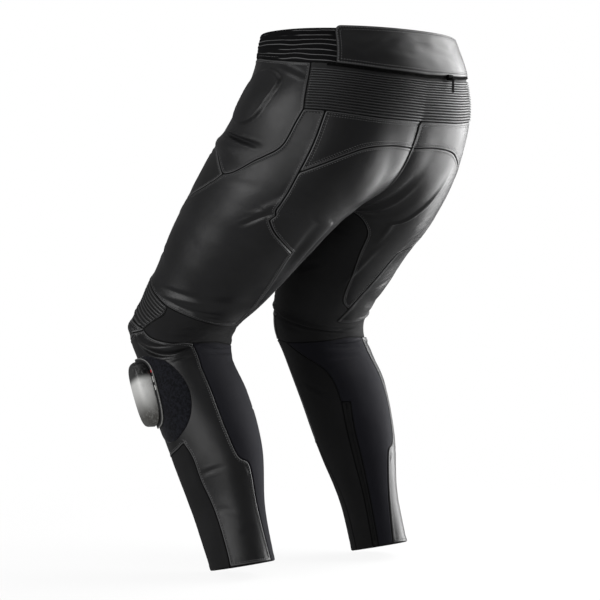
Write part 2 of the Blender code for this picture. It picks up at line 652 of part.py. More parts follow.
def insets(loop, points3d, outwards, gap=SEAM_GAP / 2):
    """Return for each boundary point the move that keeps a panel off its neighbour."""
    flat = [metric(p) for p in loop]
    area = sum(a.x * b.y - b.x * a.y for a, b in zip(flat, flat[1:] + flat[:1]))
    turn = -1 if area > 0 else 1
    moves, count = [], len(loop)
    for k in range(count):
        normal = outwards[k] * turn
        before = (points3d[k] - points3d[k - 1]).normalized()
        after = (points3d[(k + 1) % count] - points3d[k]).normalized()
        one, two = normal.cross(before), normal.cross(after)
        one.normalize()
        two.normalize()
        both = one + two
        if both.length < 0.2:
            moves.append(two * gap)
            continue
        miter = gap / max(both.length / 2, 0.4)
        moves.append(both.normalized() * miter)
    return moves


def closed_wall(outer, outer_faces, inner, inner_faces, border):
    """Return vertices and faces of a wall whose two skins share a border order."""
    shift = len(outer)
    faces = [tuple(reversed(face)) for face in outer_faces]
    faces += [tuple(v + shift for v in face) for face in inner_faces]
    for k in range(border):
        n = (k + 1) % border
        faces.append((k, n, n + shift))
        faces.append((k, n + shift, k + shift))
    return outer + inner, faces


def make_object(name, vertices, faces, finish):
    """Create a mesh object with its finish and smooth shading."""
    mesh = bpy.data.meshes.new(name)
    mesh.from_pydata([tuple(v) for v in vertices], [], faces)
    mesh.update()
    mesh.shade_smooth()
    mesh.set_sharp_from_angle(angle=math.radians(38))
    mesh.materials.append(material(name, finish))
    thing = bpy.data.objects.new(name, mesh)
    bpy.context.scene.collection.objects.link(thing)
    return thing


def material(name, finish):
    """Return an object's own Principled material with a finish's values."""
    colour, roughness, metallic = FINISHES[finish]
    made = bpy.data.materials.new(name)
    made.use_nodes = True
    shader = made.node_tree.nodes["Principled BSDF"]
    shader.inputs["Base Color"].default_value = colour
    shader.inputs["Roughness"].default_value = roughness
    shader.inputs["Metallic"].default_value = metallic
    made.diffuse_color = colour
    return made


def make_pair(name, vertices, faces, finish):
    """Create a left piece and its mirrored right piece."""
    make_object("left_" + name, vertices, faces, finish)
    mirrored = [Vector((-v.x, v.y, v.z)) for v in vertices]
    make_object("right_" + name, mirrored, [tuple(reversed(f)) for f in faces], finish)


def wall_between(points, triangles, inner, inner_triangles, border, wall, height):
    """Return a wall between an outer and an inner skin that share their border points.

    height gives the extra move outwards of the outer point with an index.
    """
    loop = points[:border]
    flat = [panel_point(a, d, 0.0, STILL) for a, d in loop]
    moves = insets(loop, flat, [directions(a, d)[2] for a, d in loop])
    moves += [STILL] * max(len(points), len(inner))
    outer = [panel_point(a, d, height(k), moves[k]) for k, (a, d) in enumerate(points)]
    plain = [panel_point(a, d, -wall, moves[k]) for k, (a, d) in enumerate(inner)]
    return oriented(closed_wall(outer, triangles, plain, inner_triangles, border))


def oriented(solid):
    """Return a closed solid's vertices and faces with every face pointing outwards."""
    vertices, faces = solid
    faces = consistent(faces)
    volume = 0.0
    for a, b, c in faces:
        volume += vertices[a].dot(vertices[b].cross(vertices[c]))
    if volume < 0:
        faces = [tuple(reversed(f)) for f in faces]
    return vertices, faces


def consistent(faces):
    """Return faces turned so that neighbours agree, walking from the first one."""
    by_edge = {}
    for index, face in enumerate(faces):
        for k in range(3):
            pair = frozenset((face[k], face[(k + 1) % 3]))
            by_edge.setdefault(pair, []).append(index)
    turned, done, queue = list(faces), {0}, [0]
    while queue:
        current = queue.pop()
        face = turned[current]
        for k in range(3):
            one, two = face[k], face[(k + 1) % 3]
            for other in by_edge[frozenset((one, two))]:
                if other in done:
                    continue
                near = turned[other]
                runs = any(near[j] == one and near[(j + 1) % 3] == two for j in range(3))
                turned[other] = tuple(reversed(near)) if runs else near
                done.add(other)
                queue.append(other)
    return turned


def pad_loop(scale):
    """Return the hip protector's rounded outline, scaled about its middle."""
    middle = [sum(p[c] for p in PAD_OUTLINE) / len(PAD_OUTLINE) for c in (0, 1)]
    corners = [tuple(middle[c] + (p[c] - middle[c]) * scale for c in (0, 1))
               for p in PAD_OUTLINE]
    # a whole turn with a lap at both ends, so that the curve closes smoothly
    lap = corners[-2:] + corners + corners[:2]
    curve = through_points(lap, 40 * len(lap))
    span = len(curve) // (len(lap) - 1)
    first = min(range(span, 3 * span), key=lambda k: math.dist(curve[k], corners[0]))
    last = min(range(len(curve) - 3 * span, len(curve) - span),
               key=lambda k: math.dist(curve[k], corners[0]))
    return evenly_spaced(curve[first:last + 1], PAD_SIDES)[:-1]


def patch_loop():
    """Return the loop patch's outline: an ellipse on the outer front of the shin."""
    loop = []
    for k in range(PATCH_SIDES):
        angle = 2 * math.pi * k / PATCH_SIDES
        loop.append((PATCH_CENTRE[0] + PATCH_RADII[0] * math.cos(angle),
                     PATCH_CENTRE[1] + PATCH_RADII[1] * math.sin(angle)))
    return loop


def make_panels():
    """Create every plain panel, the raised hip protector and the loop patch."""
    for name, row in PANELS.items():
        panel = dict(zip(PANEL_COLUMNS, row))
        loop = outline(panel["seams"], panel["wrap"])
        rings, extra, raised = [], [], None
        if name == "hip_front":
            rings = [pad_loop(PAD_FOOT), pad_loop(PAD_SHOULDER)]
            raised = [metric(p) for p in pad_loop((PAD_FOOT + PAD_SHOULDER) / 2)]
        if name == "outer_shin":
            rings = [patch_loop()]
            extra = lattice(rings[0], PATCH_SPACING)
        folds = fold_points(loop, panel["wrap"])
        spacing = CAP_SPACING if name == "knee_cap" else PANEL_SPACING
        points = lattice(loop, spacing, avoid=rings)
        points = clear_of(points, folds, FOLD_CLEARANCE * PANEL_SPACING)
        if name == "outer_shin":
            patch = [metric(p) for p in rings[0]]
            points = [p for p in points if not inside(metric(p), patch)] + extra
        cut, triangles = triangulate(loop, points + folds, rings)

        def height(index, cut=cut, raised=raised):
            return PAD_HEIGHT if raised and inside(metric(cut[index]), raised) else 0.0

        solid = wall_between(cut, triangles, cut, triangles, len(loop), panel["wall"],
                             height)
        make_pair(name, *solid, panel["material"])
        if name == "outer_shin":
            make_patch(cut, triangles, len(loop))


def make_patch(cut, triangles, first):
    """Create the loop patch from the shin panel's own points, moved outwards."""
    patch = [metric(p) for p in patch_loop()]
    chosen = []
    for face in triangles:
        middle = sum((metric(cut[v]) for v in face), Vector((0, 0))) / 3
        if inside(middle, patch):
            chosen.append(face)
    border = list(range(first, first + PATCH_SIDES))
    rest = sorted({v for face in chosen for v in face} - set(border))
    place = {v: k for k, v in enumerate(border + rest)}
    faces = [tuple(place[v] for v in face) for face in chosen]
    points = [cut[v] for v in border + rest]
    outer = [panel_point(a, d, PATCH_OFFSET + PATCH_WALL, STILL) for a, d in points]
    inner = [panel_point(a, d, PATCH_OFFSET, STILL) for a, d in points]
    solid = oriented(closed_wall(outer, faces, inner, faces, PATCH_SIDES))
    make_pair("loop_patch", *solid, "loop")


# ---------------------------------------------------------------- ribbed pieces

def grid_rows(top, low, rows):
    """Return rows of points between a top and a low seam with the same steps."""
    return [[tuple(t[c] + (b[c] - t[c]) * k / rows for c in (0, 1))
             for t, b in zip(top, low)] for k in range(rows + 1)]


def with_end_columns(rows):
    """Return grid rows with one more column close to each end, so that ribs reach it."""
    widened = []
    for row in rows:
        near = tuple(row[0][c] + (row[1][c] - row[0][c]) * END_COLUMN for c in (0, 1))
        far = tuple(row[-1][c] + (row[-2][c] - row[-1][c]) * END_COLUMN for c in (0, 1))
        widened.append([row[0], near] + row[1:-1] + [far, row[-1]])
    return widened


def grid_skin(rows):
    """Return a grid's points, border first, its triangles and each point's cell."""
    high, wide = len(rows), len(rows[0])
    border = [(0, j) for j in range(wide)] + [(i, wide - 1) for i in range(1, high)]
    border += [(high - 1, j) for j in range(wide - 2, -1, -1)]
    border += [(i, 0) for i in range(high - 2, 0, -1)]
    rest = [(i, j) for i in range(1, high - 1) for j in range(1, wide - 1)]
    place = {cell: k for k, cell in enumerate(border + rest)}
    triangles = []
    for i in range(high - 1):
        for j in range(wide - 1):
            a, b = place[(i, j)], place[(i, j + 1)]
            c, d = place[(i + 1, j + 1)], place[(i + 1, j)]
            triangles += [(a, b, c), (a, c, d)]
    points = [rows[i][j] for i, j in border + rest]
    return points, triangles, len(border), border + rest


def plain_inside(points, border, spacing):
    """Return a plain skin for the inside of a ribbed wall, with the same border."""
    loop = points[:border]
    return triangulate(loop, lattice(loop, spacing))


def make_waistband():
    """Create the elasticated waistband with its level gathers, left and right."""
    low = seam_points("band_low_side")[:-1] + seam_points("band_low_back")
    top = [(a, 0.0) for a, d in low]
    lines = 2 * WAIST_GATHERS + 1
    rows = grid_rows(top, low, lines)
    points, triangles, border, cells = grid_skin(rows)
    fade_from, fade_to = GATHER_FADE

    def height(index):
        line, column = cells[index]
        around = points[index][0]
        under_zip = line == lines - 1 and around > CORNERS["yoke_corner"][0] - 0.02
        if line in (0, lines) or line % 2 == 1 or under_zip:
            return 0.0
        fade = 1 - min(max((around - fade_from) / (fade_to - fade_from), 0), 1)
        uneven = 1 - GATHER_UNEVEN + GATHER_UNEVEN * math.sin(0.9 * column + 2.3 * line)
        if column == 0:
            return 0.0
        return GATHER_HEIGHT * fade * uneven

    inner, inner_tris = plain_inside(points, border, PANEL_SPACING)
    solid = wall_between(points, triangles, inner, inner_tris, border, LEATHER, height)
    make_pair("waistband", *solid, "stretch")


def make_knee_accordion():
    """Create the ribbed leather above the knee cap, left and right."""
    top = seam_points("knee_top_inner")[:-1] + seam_points("knee_top_outer")
    low = seam_points("cap_top")
    lines = 2 * KNEE_RIBS
    rows = grid_rows(top, low, lines)
    # the outer end follows the seam of the stretch insert
    side = evenly_spaced(seam_points("knee_outer_side"), lines)
    for row, end in zip(rows, side):
        start, old = row[0], row[-1]
        for j, point in enumerate(row):
            u = j / (len(row) - 1)
            row[j] = tuple(point[c] + (end[c] - old[c]) * u for c in (0, 1))
        row[0] = start
    rows = with_end_columns(rows)
    points, triangles, border, cells = grid_skin(rows)

    def height(index):
        line, column = cells[index]
        return KNEE_RIB_HEIGHT if line % 2 == 1 and column not in (
            0, len(rows[0]) - 1) else 0.0

    inner, inner_tris = plain_inside(points, border, PANEL_SPACING)
    solid = wall_between(points, triangles, inner, inner_tris, border, LEATHER, height)
    make_pair("knee_accordion", *solid, "leather")


def centre_wall(rows, heights, offset, wall, name, finish, inner_rows=None):
    """Create a piece that crosses a centre seam, from rows of (around, down)."""
    points, triangles, border, cells = grid_skin(rows)
    loop = points[:border]
    flat = [cloth_point(a, d) for a, d in loop]
    normals = [(cloth_point(a, d, MM) - cloth_point(a, d)).normalized() for a, d in loop]
    moves = insets(loop, flat, normals)
    moves += [STILL] * len(points)
    outer = [cloth_point(a, d, offset + wall + heights(cells[k])) + moves[k]
             for k, (a, d) in enumerate(points)]
    if inner_rows is None:
        inner, inner_tris = plain_inside(points, border, PANEL_SPACING)
    else:
        inner, inner_tris = points, triangles
    plain = [cloth_point(a, d, offset) + moves[k] for k, (a, d) in enumerate(inner)]
    solid = oriented(closed_wall(outer, triangles, plain, inner_tris, border))
    return make_object(name, *solid, finish)


def both_sides(points):
    """Return left-side points ending at the centre back, continued on the right."""
    return points + [(2 - a, d) for a, d in reversed(points[:-1])]


def make_back_accordion():
    """Create the ribbed stretch yoke across the back of the waist."""
    top = both_sides(seam_points("band_low_back"))
    low = both_sides(seam_points("yoke_low_side")[:-1] + seam_points("yoke_low_back"))
    plain = 2 * PLAIN_ABOVE_RIBS
    rows = with_end_columns(grid_rows(top, low, 2 * BACK_RIBS + plain))
    rows = rows[:1] + rows[plain:]
    columns = len(rows[0])

    def heights(cell):
        line, column = cell
        ribbed = line % 2 == 0 and line > 0 and column not in (0, columns - 1)
        return BACK_RIB_HEIGHT if ribbed else 0.0

    centre_wall(rows, heights, -LEATHER, LEATHER, "back_accordion", "leather")


def make_kidney_flap():
    """Create the leather flap that stands up over the back of the waistband."""
    seam = [p for p in seam_points("band_low_back") if p[0] > FLAP_START + 0.01]
    columns = [FLAP_START] + [a for a, d in seam]
    first = seam_points("band_low_back")
    left = max(p for p in first if p[0] <= FLAP_START)
    right = min(p for p in first if p[0] > FLAP_START)
    u = (FLAP_START - left[0]) / (right[0] - left[0])
    edge = [left[1] + (right[1] - left[1]) * u] + [d for a, d in seam]
    top = both_sides([(a, 0.0) for a in columns])
    low = both_sides([(a, d - FLAP_DROP) for a, d in zip(columns, edge)])
    rows = grid_rows(top, low, 4)
    thing = centre_wall(rows, lambda cell: 0.0, FLAP_OFFSET, FLAP_WALL, "kidney_flap",
                        "leather", inner_rows=rows)
    low_top = cloth_point(1.0, 0.0).z
    for vertex in thing.data.vertices:
        if vertex.co.z > low_top - MM:
            vertex.co.z += FLAP_RISE


def make_jacket_zip():
    """Create the zip tape that runs along the top of the back accordion."""
    seam = seam_points("band_low_back")
    kept = [p for p in seam if p[0] > ZIP_START + 0.005]
    before = max(p for p in seam if p[0] <= ZIP_START + 0.005)
    u = (ZIP_START - before[0]) / (kept[0][0] - before[0])
    start = (ZIP_START, before[1] + (kept[0][1] - before[1]) * u)
    line = both_sides([start] + kept)
    rows = [[(a, d - ZIP_ABOVE + (ZIP_ABOVE + ZIP_BELOW) * k / 2) for a, d in line]
            for k in range(3)]
    centre_wall(rows, lambda cell: 0.0, ZIP_OFFSET, ZIP_WALL, "jacket_zip",
                "zip_tape", inner_rows=rows)


def make_centre_strips():
    """Create the felled strip at the centre back and the fly placket in front."""
    strips = (("centre_back_strip", 1.0, STRIP_DOWN, STRIP_WIDTH, 2, STRIP_OFFSET,
               STRIP_WALL),
              ("fly_placket", 0.0, FLY_DOWN, FLY_WIDTH, 4, FLY_OFFSET, FLY_WALL))
    for name, middle, (start, end), width, columns, offset, wall in strips:
        steps = round((end - start) / STRIP_STEP)
        rows = []
        for k in range(steps + 1):
            down = start + (end - start) * k / steps
            reach = width / 2 / girth_rate(middle, down)
            rows.append([(middle + reach * (2 * j / columns - 1), down)
                         for j in range(columns + 1)])
        centre_wall(rows, lambda cell: 0.0, offset, wall, name, "leather",
                    inner_rows=rows)


def girth_rate(around, down):
    """Return metres of cloth for each unit of around at a centre seam."""
    near = 0.98 if around > 0.5 else 0.02
    return (plain_point(around, down) - plain_point(near, down)).length / 0.02


# ---------------------------------------------------------------- hard pieces

def make_snap():
    """Create the round snap that closes the fly at the waistband."""
    foot = cloth_point(0.0, SNAP_DOWN)
    forward = (cloth_point(0.0, SNAP_DOWN, MM) - foot).normalized()
    across = Vector((1, 0, 0))
    upward = across.cross(forward)
    middle = foot + forward * (FLY_OFFSET + FLY_WALL + SNAP_LIFT)
    layers = ((0.0, 1.0), (0.6, 1.0), (1.0, 0.72))
    vertices, faces = [], []
    for depth, size in layers:
        for k in range(SNAP_SIDES):
            angle = 2 * math.pi * k / SNAP_SIDES
            reach = SNAP_RADIUS * size
            vertices.append(middle + forward * (depth * SNAP_THICKNESS)
                            + across * (reach * math.cos(angle))
                            + upward * (reach * math.sin(angle)))
    ring_faces(faces, len(layers), SNAP_SIDES)
    cap_faces(vertices, faces, 0, SNAP_SIDES, middle)
    cap_faces(vertices, faces, (len(layers) - 1) * SNAP_SIDES, SNAP_SIDES,
              middle + forward * SNAP_THICKNESS)
    make_object("fly_snap", *oriented((vertices, faces)), "dark_metal")


def ring_faces(faces, rings, sides):
    """Add triangles between successive rings of points."""
    for i in range(rings - 1):
        for k in range(sides):
            a, b = i * sides + k, i * sides + (k + 1) % sides
            faces.append((a, b, b + sides))
            faces.append((a, b + sides, a + sides))


def cap_faces(vertices, faces, first, sides, middle):
    """Close a ring of points with a fan to a middle point."""
    vertices.append(middle)
    centre = len(vertices) - 1
    for k in range(sides):
        faces.append((first + k, first + (k + 1) % sides, centre))


def slider_outline(scale, margin=0.0):
    """Return the knee slider's outline in metres, across and down."""
    points = []
    for k in range(SLIDER_SIDES):
        angle = 2 * math.pi * k / SLIDER_SIDES
        c = smooth_curve(math.cos(angle), 2 / SLIDER_SQUARE)
        s = smooth_curve(math.sin(angle), 2 / SLIDER_SQUARE)
        narrow = 1 - SLIDER_TAPER * s
        points.append(((SLIDER_SIZE[0] / 2 + margin) * c * scale * narrow,
                       (SLIDER_SIZE[1] / 2 + margin) * s * scale))
    return points


def on_shin(across, fall, outwards):
    """Return a point over the shin at some metres from the slider's middle."""
    girth = shin_girth()
    around = SLIDER_CENTRE[0] + across / girth
    down = SLIDER_CENTRE[1] + fall
    return plain_point(around, down) + directions(around, down)[2] * outwards


def shin_girth():
    """Return metres of cloth for each unit of around under the knee slider."""
    a, d = SLIDER_CENTRE
    return (plain_point(a + 0.01, d) - plain_point(a - 0.01, d)).length / 0.02


def layered_solid(layers, bottom, top):
    """Return a closed solid from rings of points between two middle points."""
    vertices, faces = [], []
    for ring in layers:
        vertices += ring
    sides = len(layers[0])
    ring_faces(faces, len(layers), sides)
    cap_faces(vertices, faces, 0, sides, bottom)
    cap_faces(vertices, faces, (len(layers) - 1) * sides, sides, top)
    return oriented((vertices, faces))


def make_knee_sliders():
    """Create each knee slider: a thin base that follows the shin and the hard puck."""
    def base_ring(scale, outwards):
        return [on_shin(a, f, outwards) for a, f in slider_outline(scale, BASE_MARGIN)]

    face = BASE_OFFSET + BASE_WALL
    sizes = SLIDER_FILL + (1.0,)
    layers = [base_ring(s, BASE_OFFSET) for s in sizes]
    layers += [base_ring(s, face) for s in reversed(sizes)]
    solid = layered_solid(layers, on_shin(0, 0, BASE_OFFSET), on_shin(0, 0, face))
    make_pair("slider_base", *solid, "base_plastic")

    level, fall, outward = directions(*SLIDER_CENTRE)
    middle = plain_point(*SLIDER_CENTRE)

    def flat_point(across, down, lift):
        return middle + level * across + fall * down + outward * lift

    def puck_ring(scale, height, flatness):
        ring = []
        for across, down in slider_outline(scale):
            curved = on_shin(across, down, PUCK_OFFSET + height)
            crown = 1 - (across / PUCK_CROWN[0]) ** 2 - (down / PUCK_CROWN[1]) ** 2
            flat = flat_point(across, down, PUCK_OFFSET + height * crown)
            ring.append(curved.lerp(flat, flatness))
        return ring

    layers = [puck_ring(s, 0.0, 0.0) for s in SLIDER_FILL + (PUCK_HIDDEN_EDGE,)]
    layers += [puck_ring(s, share * PUCK_HEIGHT, flat) for s, share, flat in PUCK_RINGS]
    solid = layered_solid(layers, on_shin(0, 0, PUCK_OFFSET),
                          flat_point(0, 0, PUCK_OFFSET + PUCK_HEIGHT))
    make_pair("slider_puck", *solid, "slider_plastic")


def box_points(low, high):
    """Return the eight corners of a box."""
    return [Vector((x, y, z)) for z in (low[2], high[2])
            for y in (low[1], high[1]) for x in (low[0], high[0])]


BOX_FACES = ((0, 2, 3), (0, 3, 1), (4, 5, 7), (4, 7, 6), (0, 1, 5), (0, 5, 4),
             (2, 6, 7), (2, 7, 3), (0, 4, 6), (0, 6, 2), (1, 3, 7), (1, 7, 5))


def make_box(name, low, high, finish):
    """Create a plain box."""
    return make_object(name, box_points(low, high), list(BOX_FACES), finish)


def make_rod(name, radius, half_length, finish, sides=12, middle=(0, 0, 0), axis="X"):
    """Create a round rod along X or Y."""
    vertices, faces = [], []
    for end in (-half_length, half_length):
        for k in range(sides):
            angle = 2 * math.pi * k / sides
            c, s = radius * math.cos(angle), radius * math.sin(angle)
            place = (end, c, s) if axis == "X" else (c, end, s)
            vertices.append(Vector(place) + Vector(middle))
    ring_faces(faces, 2, sides)
    for end, first in ((-half_length, 0), (half_length, sides)):
        place = (end, 0, 0) if axis == "X" else (0, end, 0)
        cap_faces(vertices, faces, first, sides, Vector(middle) + Vector(place))
    return make_object(name, *oriented((vertices, faces)), finish)


def boolean(thing, other, operation):
    """Join another shape to a thing, or cut it away, and hide the other shape."""
    modifier = thing.modifiers.new(other.name, "BOOLEAN")
    modifier.operation = operation
    modifier.object = other
    other.hide_render = True
    other.display_type = "WIRE"


def make_jacket_zip_slider():
    """Create the zip slider with its pin, and the pull tab that hangs on the pin."""
    seam = both_sides(seam_points("band_low_back"))
    down = min(seam, key=lambda p: abs(p[0] - ZIP_SLIDER_AROUND))[1] + 1.0 * MM
    foot = cloth_point(ZIP_SLIDER_AROUND, down)
    outward = cloth_point(ZIP_SLIDER_AROUND, down, MM) - foot
    yaw = math.atan2(outward.y, outward.x) - math.pi / 2
    width, depth, high = ZIP_SLIDER_SIZE
    parent = bpy.data.objects.new("zip_slider_place", None)
    bpy.context.scene.collection.objects.link(parent)
    face = ZIP_SLIDER_LIFT + depth
    parent.location = foot
    parent.rotation_euler = (0, 0, yaw)

    slider = make_box("zip_slider", (-width / 2, ZIP_SLIDER_LIFT, -high / 2),
                      (width / 2, face, high / 2), "dark_metal")
    bevel = slider.modifiers.new("rounded", "BEVEL")
    bevel.width = 0.9 * MM
    bevel.segments = 2
    pin_y, pin_z = face + PULL_STANDOFF, -high / 4
    lug_near = PULL_WIDTH / 2 + LUG_GAP
    for side in (-1, 1):
        inner, outer = sorted((side * lug_near, side * (lug_near + LUG_THICKNESS)))
        lug = make_box("lug_cutter", (inner, face - MM, pin_z - LUG_REACH),
                       (outer, pin_y + LUG_REACH, pin_z + LUG_REACH), "dark_metal")
        boolean(slider, lug, "UNION")
        lug.parent = parent
    pin = make_rod("pin_cutter", PULL_PIN_RADIUS, lug_near + LUG_THICKNESS / 2,
                   "dark_metal", middle=(0, pin_y, pin_z))
    boolean(slider, pin, "UNION")
    pin.parent = parent
    slider.parent = parent

    pull_place = bpy.data.objects.new("pull_place", None)
    bpy.context.scene.collection.objects.link(pull_place)
    pull_place.parent = parent
    pull_place.location = (0, pin_y, pin_z)
    pull = make_pull_tab()
    pull.parent = pull_place
    hole = make_rod("pull_hole_cutter", PULL_HOLE_RADIUS, 2 * MM, "dark_metal",
                    middle=(0, 0, -PULL_LENGTH + PULL_HOLE_FROM_END), axis="Y")
    hole.parent = pull_place
    boolean(pull, hole, "DIFFERENCE")


def make_pull_tab():
    """Create the pull tab: an eye round the pin and a plate hanging under it."""
    sides = 16
    half = PULL_THICKNESS / 2
    start = math.asin(half / PULL_EYE_RADIUS)
    outer = []
    for k in range(sides + 1):
        angle = -math.pi / 2 + start + (2 * math.pi - 2 * start) * k / sides
        outer.append((PULL_EYE_RADIUS * math.cos(angle), PULL_EYE_RADIUS * math.sin(angle)))
    outer += [(-half, -PULL_LENGTH), (half, -PULL_LENGTH)]
    hole = []
    for k in range(sides):
        angle = 2 * math.pi * k / sides
        hole.append((PULL_EYE_HOLE * math.cos(angle), PULL_EYE_HOLE * math.sin(angle)))
    flat = [Vector(p) for p in outer + hole]
    edges = [(k, (k + 1) % len(outer)) for k in range(len(outer))]
    edges += [(len(outer) + k, len(outer) + (k + 1) % sides) for k in range(sides)]
    found = delaunay_2d_cdt(flat, edges, [], 1, 1e-8)
    origin = [group[0] for group in found[3]]
    keep = []
    for face in found[2]:
        middle = sum((flat[origin[v]] for v in face), Vector((0, 0))) / 3
        if middle.length > PULL_EYE_HOLE * math.cos(math.pi / sides):
            keep.append(tuple(origin[v] for v in face))
    vertices = [Vector((x, p.x, p.y)) for x in (-PULL_WIDTH / 2, PULL_WIDTH / 2)
                for p in flat]
    shift = len(flat)
    faces = list(keep) + [tuple(v + shift for v in face) for face in keep]
    for one, two in edges:
        faces.append((one, two, two + shift))
        faces.append((one, two + shift, one + shift))
    return make_object("zip_pull", *oriented((vertices, faces)), "dark_metal")


def main():
    """Build the trousers."""
    for thing in list(bpy.data.objects):
        bpy.data.objects.remove(thing)
    make_panels()
    make_waistband()
    make_knee_accordion()
    make_back_accordion()
    make_kidney_flap()
    make_jacket_zip()
    make_centre_strips()
    make_snap()
    make_knee_sliders()
    make_jacket_zip_slider()
    bpy.context.view_layer.update()


main()
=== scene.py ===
"""Motorcycle trousers: the finished cloth, seams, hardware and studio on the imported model.

Metres, +Z up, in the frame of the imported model: the front looks along -Y and the wearer's
left leg is at +X. Places on the cloth are given as (around, down), as in the model's own
source: around runs from the inseam (0) over the front and the outside (0.5) to the back
(1), and down is the distance from the waist edge. Above the crotch around = 0 and 1 are
the centre seams, and values past them lie on the other side of the body.
"""

import logging
import math
from collections.abc import Callable
from dataclasses import dataclass, field
from enum import Enum

import bpy
import numpy as np
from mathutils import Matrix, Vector, noise
from mathutils.geometry import delaunay_2d_cdt


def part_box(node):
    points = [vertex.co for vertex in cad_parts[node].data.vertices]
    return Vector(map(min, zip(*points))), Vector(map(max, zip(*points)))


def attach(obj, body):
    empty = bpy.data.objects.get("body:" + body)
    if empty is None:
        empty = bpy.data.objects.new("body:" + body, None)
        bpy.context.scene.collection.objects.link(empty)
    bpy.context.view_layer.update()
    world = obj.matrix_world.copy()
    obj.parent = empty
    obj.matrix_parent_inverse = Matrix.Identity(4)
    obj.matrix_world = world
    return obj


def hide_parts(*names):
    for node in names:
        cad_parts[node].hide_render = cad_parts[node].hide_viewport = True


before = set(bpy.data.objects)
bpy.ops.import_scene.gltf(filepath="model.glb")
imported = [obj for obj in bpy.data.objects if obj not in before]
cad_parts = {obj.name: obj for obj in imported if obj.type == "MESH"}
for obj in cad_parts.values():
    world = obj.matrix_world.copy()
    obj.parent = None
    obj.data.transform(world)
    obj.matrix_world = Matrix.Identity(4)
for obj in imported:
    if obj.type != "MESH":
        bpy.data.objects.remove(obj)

Array = np.ndarray
Object = bpy.types.Object
Socket = bpy.types.NodeSocket
GeometryTree = bpy.types.GeometryNodeTree
Triple = tuple[float, float, float]

logging.basicConfig(level=logging.INFO, format="%(name)s: %(message)s")
LOG = logging.getLogger("trousers")

MM = 0.001

# ---------------------------------------------------------------- the cut of the cloth

CROTCH_DOWN = 0.250            # where the two legs part
HEM_DOWN = 0.880               # lower edge of the leg
TYPICAL_GIRTH = 0.48           # scales around to metres when a piece is triangulated
CENTRE_CLEARANCE = 0.05 * MM   # a side's panels stop this short of the centre plane
ON_SEAM = 1e-6                 # this near to a centre seam, a point counts as on it
LEATHER_WALL = 1.4 * MM
STRETCH_WALL = 1.2 * MM
GATHER_LENGTH = 1.1            # a gathered sheet is cut this much longer than its area needs

# down; middle x, y, z; tilt and turn in degrees; half-widths outer, inner, front, back;
# squareness of the ring
SECTIONS = {
    "waist": (0, 0, 0, -0.003, 1.0, 0, 0.15, 0.155, 0.118, 0.111, 2.2),
    "band": (0.04, 0, -0.002, -0.045, -2, 0, 0.159, 0.16, 0.122, 0.132, 2.2),
    "hip": (0.11, 0.018, -0.018, -0.108, 0, 0, 0.161, 0.155, 0.126, 0.149, 2.2),
    "seat": (0.18, 0.056, -0.048, -0.168, 10, 0, 0.126, 0.122, 0.129, 0.144, 2.2),
    "crotch": (0.25, 0.086, -0.084, -0.222, 24, 0, 0.103, 0.086, 0.116, 0.119, 2.1),
    "thigh_high": (0.32, 0.098, -0.124, -0.268, 32, 4, 0.095, 0.084, 0.102, 0.1, 2.1),
    "thigh_mid": (0.39, 0.108, -0.163, -0.315, 34, 9, 0.088, 0.078, 0.093, 0.09, 2.1),
    "thigh_low": (0.45, 0.117, -0.196, -0.358, 32, 13, 0.079, 0.075, 0.083, 0.079, 2.1),
    "knee_top": (0.5, 0.126, -0.22, -0.398, 24, 16, 0.073, 0.07, 0.081, 0.066, 2.1),
    "knee": (0.54, 0.132, -0.226, -0.435, 6, 18, 0.071, 0.066, 0.088, 0.061, 2.1),
    "knee_low": (0.58, 0.138, -0.214, -0.47, -8, 18, 0.07, 0.064, 0.078, 0.059, 2.1),
    "shin_top": (0.64, 0.141, -0.19, -0.525, -14, 18, 0.07, 0.062, 0.068, 0.072, 2.1),
    "calf": (0.72, 0.141, -0.156, -0.605, -15, 18, 0.059, 0.056, 0.061, 0.074, 2.1),
    "shin_low": (0.8, 0.14, -0.127, -0.685, -14, 18, 0.043, 0.041, 0.052, 0.058, 2.1),
    "hem": (0.88, 0.138, -0.101, -0.76, -14, 18, 0.042, 0.04, 0.043, 0.052, 2.1),
}

# Corners where seams meet: (around, down) on the left side.
CORNERS = {
    "fly_band": (0, 0.032), "yoke_corner": (0.64, 0.0505),
    "back_band": (1, 0.069), "yoke_low_corner": (0.656, 0.118), "side_top": (0.719, 0.12),
    "back_low_yoke": (1, 0.128), "hip_point": (0.484, 0.226), "fly_end": (0, 0.168),
    "yoke_seat": (0.677, 0.195), "seat_centre": (1, 0.157), "side_notch": (0.628, 0.261),
    "side_step": (0.728, 0.305), "tongue_tip": (0.748, 0.443), "thigh_back_low": (0.757, 0.484),
    "crotch": (1, 0.25), "knee_inner_top": (0.062, 0.474), "knee_front_top": (0.12, 0.474),
    "knee_outer_top": (0.495, 0.479), "knee_outer_low": (0.433, 0.529),
    "knee_inner_low": (0.05, 0.524), "cap_inner_low": (0.05, 0.553), "calf_top": (0.617, 0.54),
    "inner_calf_top": (-0.015, 0.5553), "zip_top_front": (0.842, 0.665),
    "zip_top_back": (0.808, 0.667), "shin_inner": (0.03, 0.708), "shin_outer": (0.484, 0.702),
    "hem_outer_back": (0.748, HEM_DOWN), "hem_zip_back": (0.832, HEM_DOWN),
    "hem_zip_front": (0.866, HEM_DOWN), "hem_inner": (-0.02, HEM_DOWN),
    "hem_outer_front": (0.526, HEM_DOWN),
}

